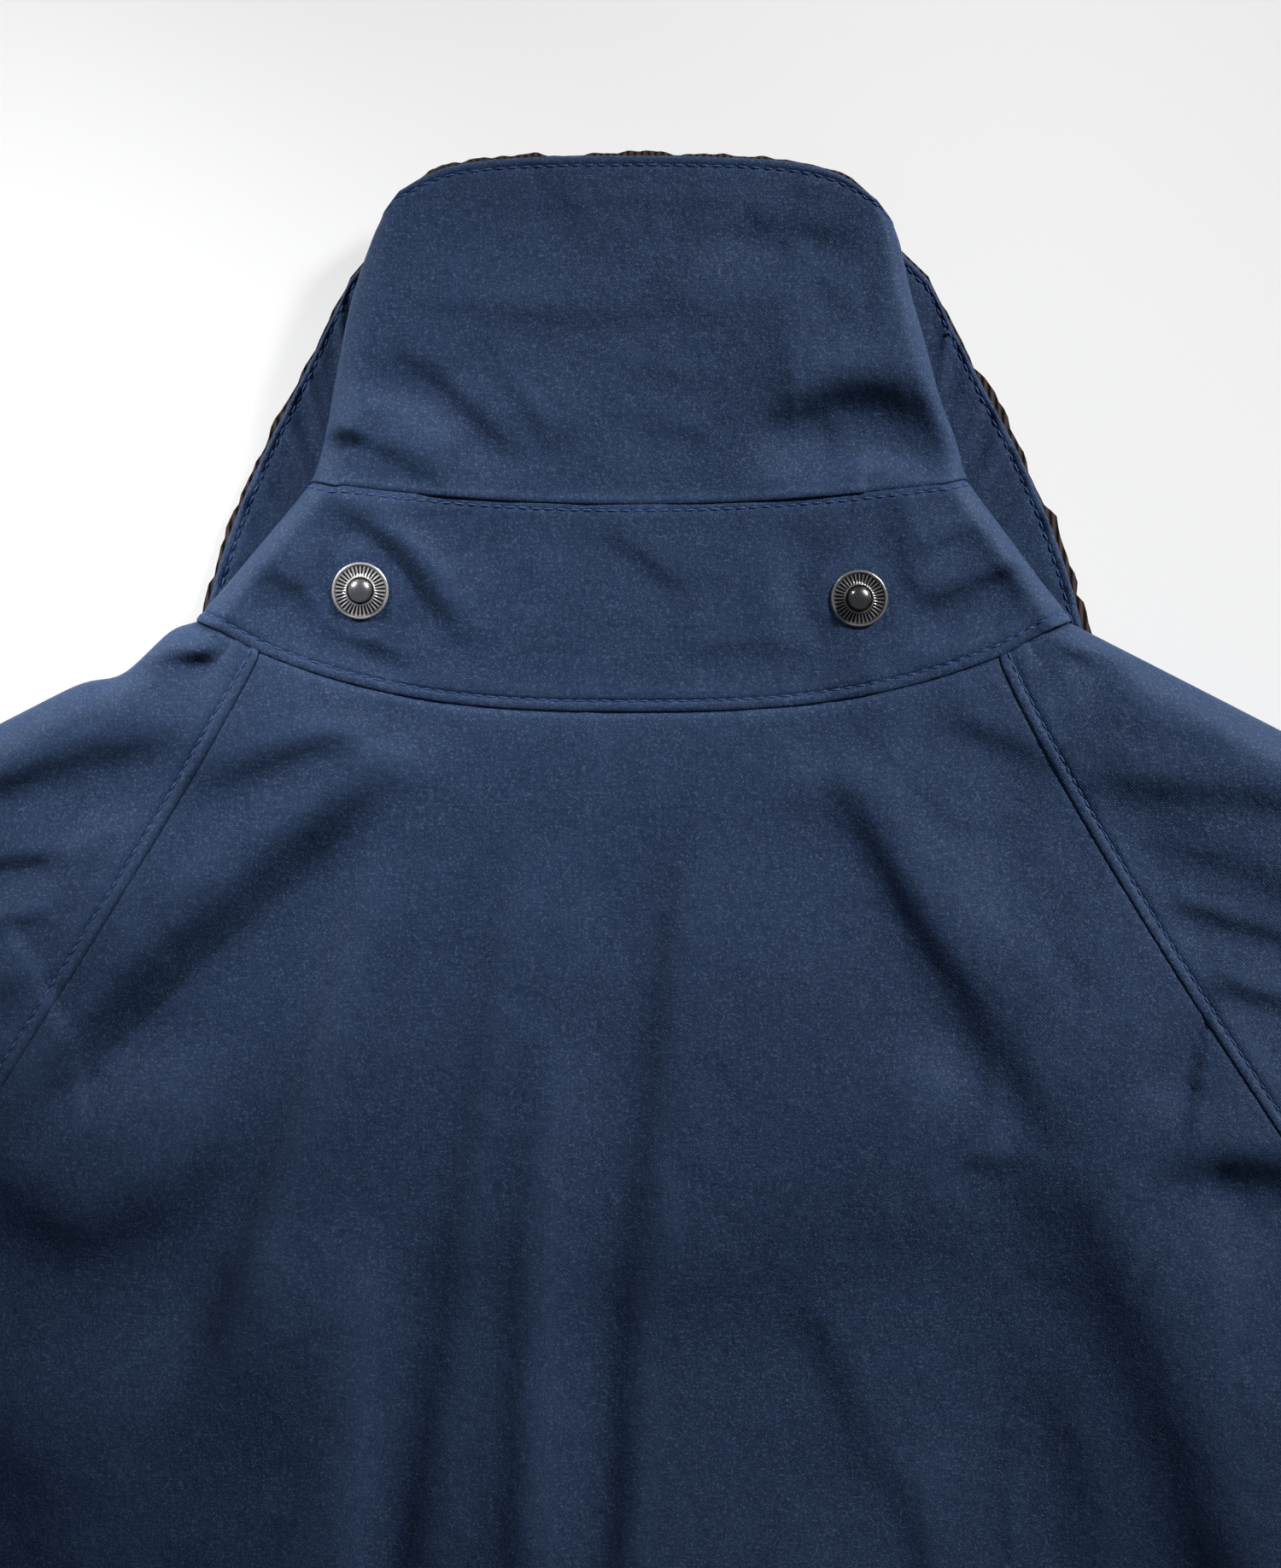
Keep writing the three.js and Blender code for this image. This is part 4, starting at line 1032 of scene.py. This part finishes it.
NAP_WAVES = ((3.1, 0.12), (5.3, 0.16), (9.7, 0.22), (17.3, 0.28), (31.0, 0.26))


def nap_reach(end):
    """How far the corduroy passes the leaf, in mm: little at the top, most low on the wearer's right."""
    x, y = end[0], end[1]
    low_on_right = smooth((x - 60) / 20) * smooth((100 - y) / 30)
    low_on_left = smooth((-x - 60) / 20) * smooth((100 - y) / 30)
    reach = 0.75 + 0.55 * low_on_right + 0.3 * low_on_left
    along = 0.7 * x + y
    for wave, size in NAP_WAVES:
        reach += size * (1 + low_on_right) * math.sin(2 * math.pi * along / wave + wave)
    corner = bell(abs(x), 60.5, 6) * (y > 100)
    return max(0.25, reach) * (1 - 0.9 * corner) + rng.uniform(-0.04, 0.04)


facing = leaf_grid(nap_reach)[..., :3]
facing = facing - grid_normals(facing) * FACING_DEPTH
facing_piece = wall("collar_facing_corduroy", facing, FACING_SHELL, BROWN)
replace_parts(facing_piece, "collar_facing")


# Collar stand.

STAND_FRONT = np.array([(86, 55, 6), (76, 48, -7), (62, 39, -17), (42, 26, -28)], float)
STAND_END = [56, 18]  # its top, where its base comes to the fronts
STAND_CORNER = np.array([NECK_HALF + 0.4, NECK_RISE + 0.6])
STAND_LAP = (
    [-0.6, -0.45, -0.1, 0.4, 1.0, 1.5, 1.8, 2.0, 2.3, 3.0, 4.5, 7, 9],
    [-0.1, 0.12, 0.26, 0.34, 0.34, 0.22, 0.02, -0.16, 0.08, 0.24, 0.22, 0.1, 0],
)
STAND_STITCH = 2.0
STAND_COLUMNS, STAND_TURN, STAND_ROWS = 70, 12, 26
ON_TOP, UNDER = -1, -2  # in place of a height: the garment's there


def stand_line(side):
    """Base and top points of the stand's columns, from the middle of the back to its front end."""
    base, top, takes = [], [], []
    raglan_x = RAGLAN[side][0]
    fold_top = fold_point(side, np.array([0.0]))

    def turn(angle):
        return turned(fold_top, FOLD_RUN, np.zeros(1), COLLAR_SEAM, COLLAR_MIDDLE, angle, 1, 0)[0]

    def add(p, q, share):
        base.append(p)
        top.append(q)
        takes.append(share)

    def seam_point(x):
        return np.array([x, stand_seam_y(x) - SEAM_GAP, COLLAR_SEAM])

    for u in dense(0, 1, 1 / STAND_COLUMNS):
        x = raglan_x * u
        add([x, neck_y(x) + SEAM_GAP, ON_TOP], seam_point(SEAM_REACH * u), 1.0)
    start = np.array([raglan_x, neck_y(raglan_x) + SEAM_GAP])
    for u in (0.25, 0.5, 0.75):
        p = lerp(start, STAND_CORNER - [4, 1.6], u)
        add([*p, ON_TOP], lerp(seam_point(SEAM_REACH), turn(90), u), 1.0)
    high, low = PLATEAU_NECK, WING_LIFT + 0.4
    for angle in (90, 75, 60, 45, 30, 15, 0, -25, -50, -75, -90):
        a = math.radians(angle)
        p = STAND_CORNER - np.array([0.92, 0.38]) * (6.0 * (1 - math.cos(a)))
        add([*p, (high + low) / 2 + (high - low) / 2 * math.sin(a)], turn(angle), max(0.0, math.sin(a)))
    below = np.array([FRONT_RAGLAN[0] + 0.4, FRONT_RAGLAN[1] + 0.8])
    for u in dense(0, 1, 1 / STAND_TURN)[1:]:
        p = lerp(STAND_CORNER - [5, 2.4], below, u)
        add([*p, UNDER], lerp(turn(-90), np.array([*STAND_END, COLLAR_MIDDLE]), u), 0.0)
    for x, tx, ty in spline(np.vstack([[FRONT_RAGLAN[0], *STAND_END], STAND_FRONT]), 6)[1:]:
        add([x, front_neck_y(x) + 0.4, UNDER], [tx, ty, COLLAR_MIDDLE], 0.0)
    x, y, z = np.array(base).T
    x = x * side
    z = np.where(z == ON_TOP, top_height(x, y), z)
    z = np.where(z == UNDER, bottom_height(x, y), z)
    return np.column_stack([x, y, z]), np.array(top) * [side, 1, 1], np.array(takes)


STUD_SURFACE = {name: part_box(name)[0][2] * 1000 - 0.3 for name in STUDS}
STUD_FLAT, STUD_EASE = 13, 6  # flat under a stud, and back to its own shape at 13 mm


def flat_studs(x, y, z, top_side):
    for name, (sx, sy) in STUDS.items():
        r = np.hypot(x - sx, y - sy)
        z = np.where(top_side, lerp(z, STUD_SURFACE[name], smooth((STUD_FLAT - r) / STUD_EASE)), z)
    return z


left, right = stand_line(-1), stand_line(1)
low, up, takes = (np.concatenate([a[:0:-1], b]) for a, b in zip(left, right))
length = np.linalg.norm(up - low, axis=1)[None, :]
bottom_rows = np.array(STAND_LAP[0])[:, None]
top_rows = np.array(BELOW_RIDGE[0])[::-1, None]
middle = dense(0, 1, 1 / STAND_ROWS)[1:-1, None]
middle = lerp(bottom_rows[-1] / length, 1 - top_rows[0] / length, middle)
t = np.vstack([bottom_rows / length, middle, 1 - top_rows / length])
stand = low[None] + (up - low)[None] * t[..., None]
x, y, z = stand[..., 0], stand[..., 1], stand[..., 2]
folds = fold_height(x, y, STAND_FOLDS) + fold_height(x, y, COLLAR_SMALL) * 0.8
ends = smooth(t / 0.1) * smooth((1 - t) / 0.08)
z = z + takes * folds * lerp(0.35, 1, ends) * away_from_studs(x, y)
stand = np.dstack([x, y, flat_studs(x, y, z, takes > 0.5)])
from_base, from_top = t * length, (1 - t) * length
s_base = lengths_along(low)[None, :]
relief = profile(STAND_LAP, from_base) + profile(BELOW_RIDGE, from_top)
relief += pulled(s_base, 31, 0.1, from_base, 2, 4.5, 1.7)
relief += pulled(s_base, 33, 0.07, from_top, 1.5, 4, 1.2)
stand = raised(stand, relief)
stand_piece = wall("collar_stand_cloth", stand, SHELL, NAVY)
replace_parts(stand_piece, "collar_stand")
thread("stitches_neck_seam", [path_on(stand, STAND_LAP[0].index(STAND_STITCH))])
thread("stitches_stand_seam", [path_on(stand, len(stand) - 1 - BELOW_RIDGE[0].index(RIDGE_STITCH))])


# Press studs: a fluted flange, a plain inner ring and a polished ball.

FLUTES, FLUTE_DEPTH = 36, 0.07
# The outline from below the flange to the top of the ball: radius, height, share of the flutes' cut,
# and darkness, where 0.8 is painted shade in a step and 2 is the polish of the ball; the 0 between
# the ball's 2s paints dark shade round its middle.
STUD_OUTLINE = (
    (0.01, 0, 0, 0), (6.3, 0, 0, 0), (6.6, 0.1, 0, 0), (6.7, 0.35, 0, 0), (6.62, 0.62, 0, 0),
    (6.35, 0.72, 0, 0), (6.1, 0.68, 0, 0), (5.95, 0.5, 0, 0.8), (5.8, 0.42, 0.5, 0), (5.5, 0.42, 1, 0),
    (4.4, 0.5, 1, 0), (3.7, 0.58, 1, 0), (3.5, 0.72, 0.5, 0), (3.3, 0.82, 0, 0), (3.15, 0.8, 0, 0.8),
    (2.9, 0.62, 0, 0.8), (2.6, 0.8, 0, 0.8), (2.5, 1.3, 0, 2), (2.62, 1.9, 0, 2), (2.7, 2.3, 0, 0),
    (2.62, 2.75, 0, 2), (2.35, 3.1, 0, 2), (1.9, 3.4, 0, 2), (1.3, 3.64, 0, 2), (0.7, 3.77, 0, 2),
    (0.01, 3.8, 0, 2),
)


def stud(name, cx, cy, look, dark_share):
    turns = FLUTES * 6
    angle = np.linspace(0, 2 * np.pi, turns, endpoint=False)
    groove = np.clip(np.cos(FLUTES * angle) * 1.4 - 0.2, -1, 1)
    valley = np.abs((FLUTES * angle / np.pi) % 2 - 1)
    rings, paling_and_painted_shade = [], []
    for r, h, cut, dark in STUD_OUTLINE:
        z = STUD_SURFACE[name] - 0.1 + h + FLUTE_DEPTH * cut * groove
        rings.append(np.column_stack([cx + r * np.cos(angle), cy + r * np.sin(angle), z]))
        # painted shade: each flute's groove darkens by dark_share, and each step by the outline's darkness
        paling_and_painted_shade.append(np.clip((dark_share - valley) * 4 + 0.5, 0, 1) * cut + dark)
    ids = np.arange(len(rings) * turns).reshape(len(rings), turns)
    a, b = ids[:-1], ids[1:]
    faces = np.stack([a, np.roll(a, -1, 1), np.roll(b, -1, 1), b], -1).reshape(-1, 4)
    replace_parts(new_piece(f"{name}_metal", np.vstack(rings), faces, look, np.concatenate(paling_and_painted_shade)), name)


# the last number is the share of each flute painted dark as shade
stud("stud_left", *STUDS["stud_left"], BRIGHT, 0.45)
stud("stud_right", *STUDS["stud_right"], DARK, 0.62)
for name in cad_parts:
    if name.startswith("cap_"):
        node = bpy.data.objects[name]
        node.data.materials.clear()
        node.data.materials.append(DARK[0])


# Floor, camera and light.

floor_mesh = bpy.data.meshes.new("stage_floor")
floor_mesh.from_pydata([(-4, -4, 0), (4, -4, 0), (4, 4, 0), (-4, 4, 0)], [], [(0, 1, 2, 3)])
floor = new_object("stage_floor", floor_mesh)
glow = {"Emission Color": (1, 1, 1, 1), "Emission Strength": 0.6, "Specular IOR Level": 0.1}
floor_mesh.materials.append(Maker("stage_floor").done((0.3, 0.3, 0.3, 1), 0.9, None, glow))
floor.location.z = -0.0002

FRAME_HEIGHT = 0.3672  # what the photograph shows, from its top to its bottom, in metres
CAMERA_HEIGHT, SENSOR = 1.6, 24
CLOTH_TOP = 0.018  # the height that is in true scale
VIEW_X, VIEW_Y = 1.6, -17.2  # the frame's middle, from the middle of the neck seam
camera_data = bpy.data.cameras.new("camera")
camera_data.sensor_fit = "VERTICAL"
camera_data.sensor_height = SENSOR
camera_data.lens = SENSOR * CAMERA_HEIGHT / FRAME_HEIGHT
camera = new_object("camera", camera_data)
camera.location = (VIEW_X * 0.001, (SHIFT_Y + VIEW_Y) * 0.001, CAMERA_HEIGHT + CLOTH_TOP)
bpy.context.scene.camera = camera


def area_light(name, target, azimuth, elevation, distance, size, power, spread=180):
    """A soft box that points at target; azimuth is from +Y towards +X."""
    data = bpy.data.lights.new(name, "AREA")
    data.shape = "RECTANGLE"
    data.size, data.size_y = size
    data.energy = power
    data.spread = math.radians(spread)
    obj = new_object(name, data)
    a, e = math.radians(azimuth), math.radians(elevation)
    away = np.array([math.sin(a) * math.cos(e), math.cos(a) * math.cos(e), math.sin(e)])
    obj.location = np.array(target) + away * distance
    obj.rotation_euler = (math.pi / 2 - e, 0, math.pi - a)


area_light("key_right", (0.06, 0.3, 0), 46, 26, 1.05, (0.45, 0.1), 0.61, 23)
area_light("key_left", (-0.135, 0.365, 0), -42, 26, 1.05, (0.16, 0.1), 0.18, 12)
area_light("fill", (0, -0.4, 0), 0, 68, 1.5, (1.5, 0.5), 0.95, 36)
world = bpy.data.worlds.new("world")
world.use_nodes = True
background = world.node_tree.nodes["Background"].inputs
background["Color"].default_value = (0.88, 0.95, 1.14, 1)
background["Strength"].default_value = 0.1
bpy.context.scene.world = world
bpy.context.scene.view_settings.view_transform = "Standard"
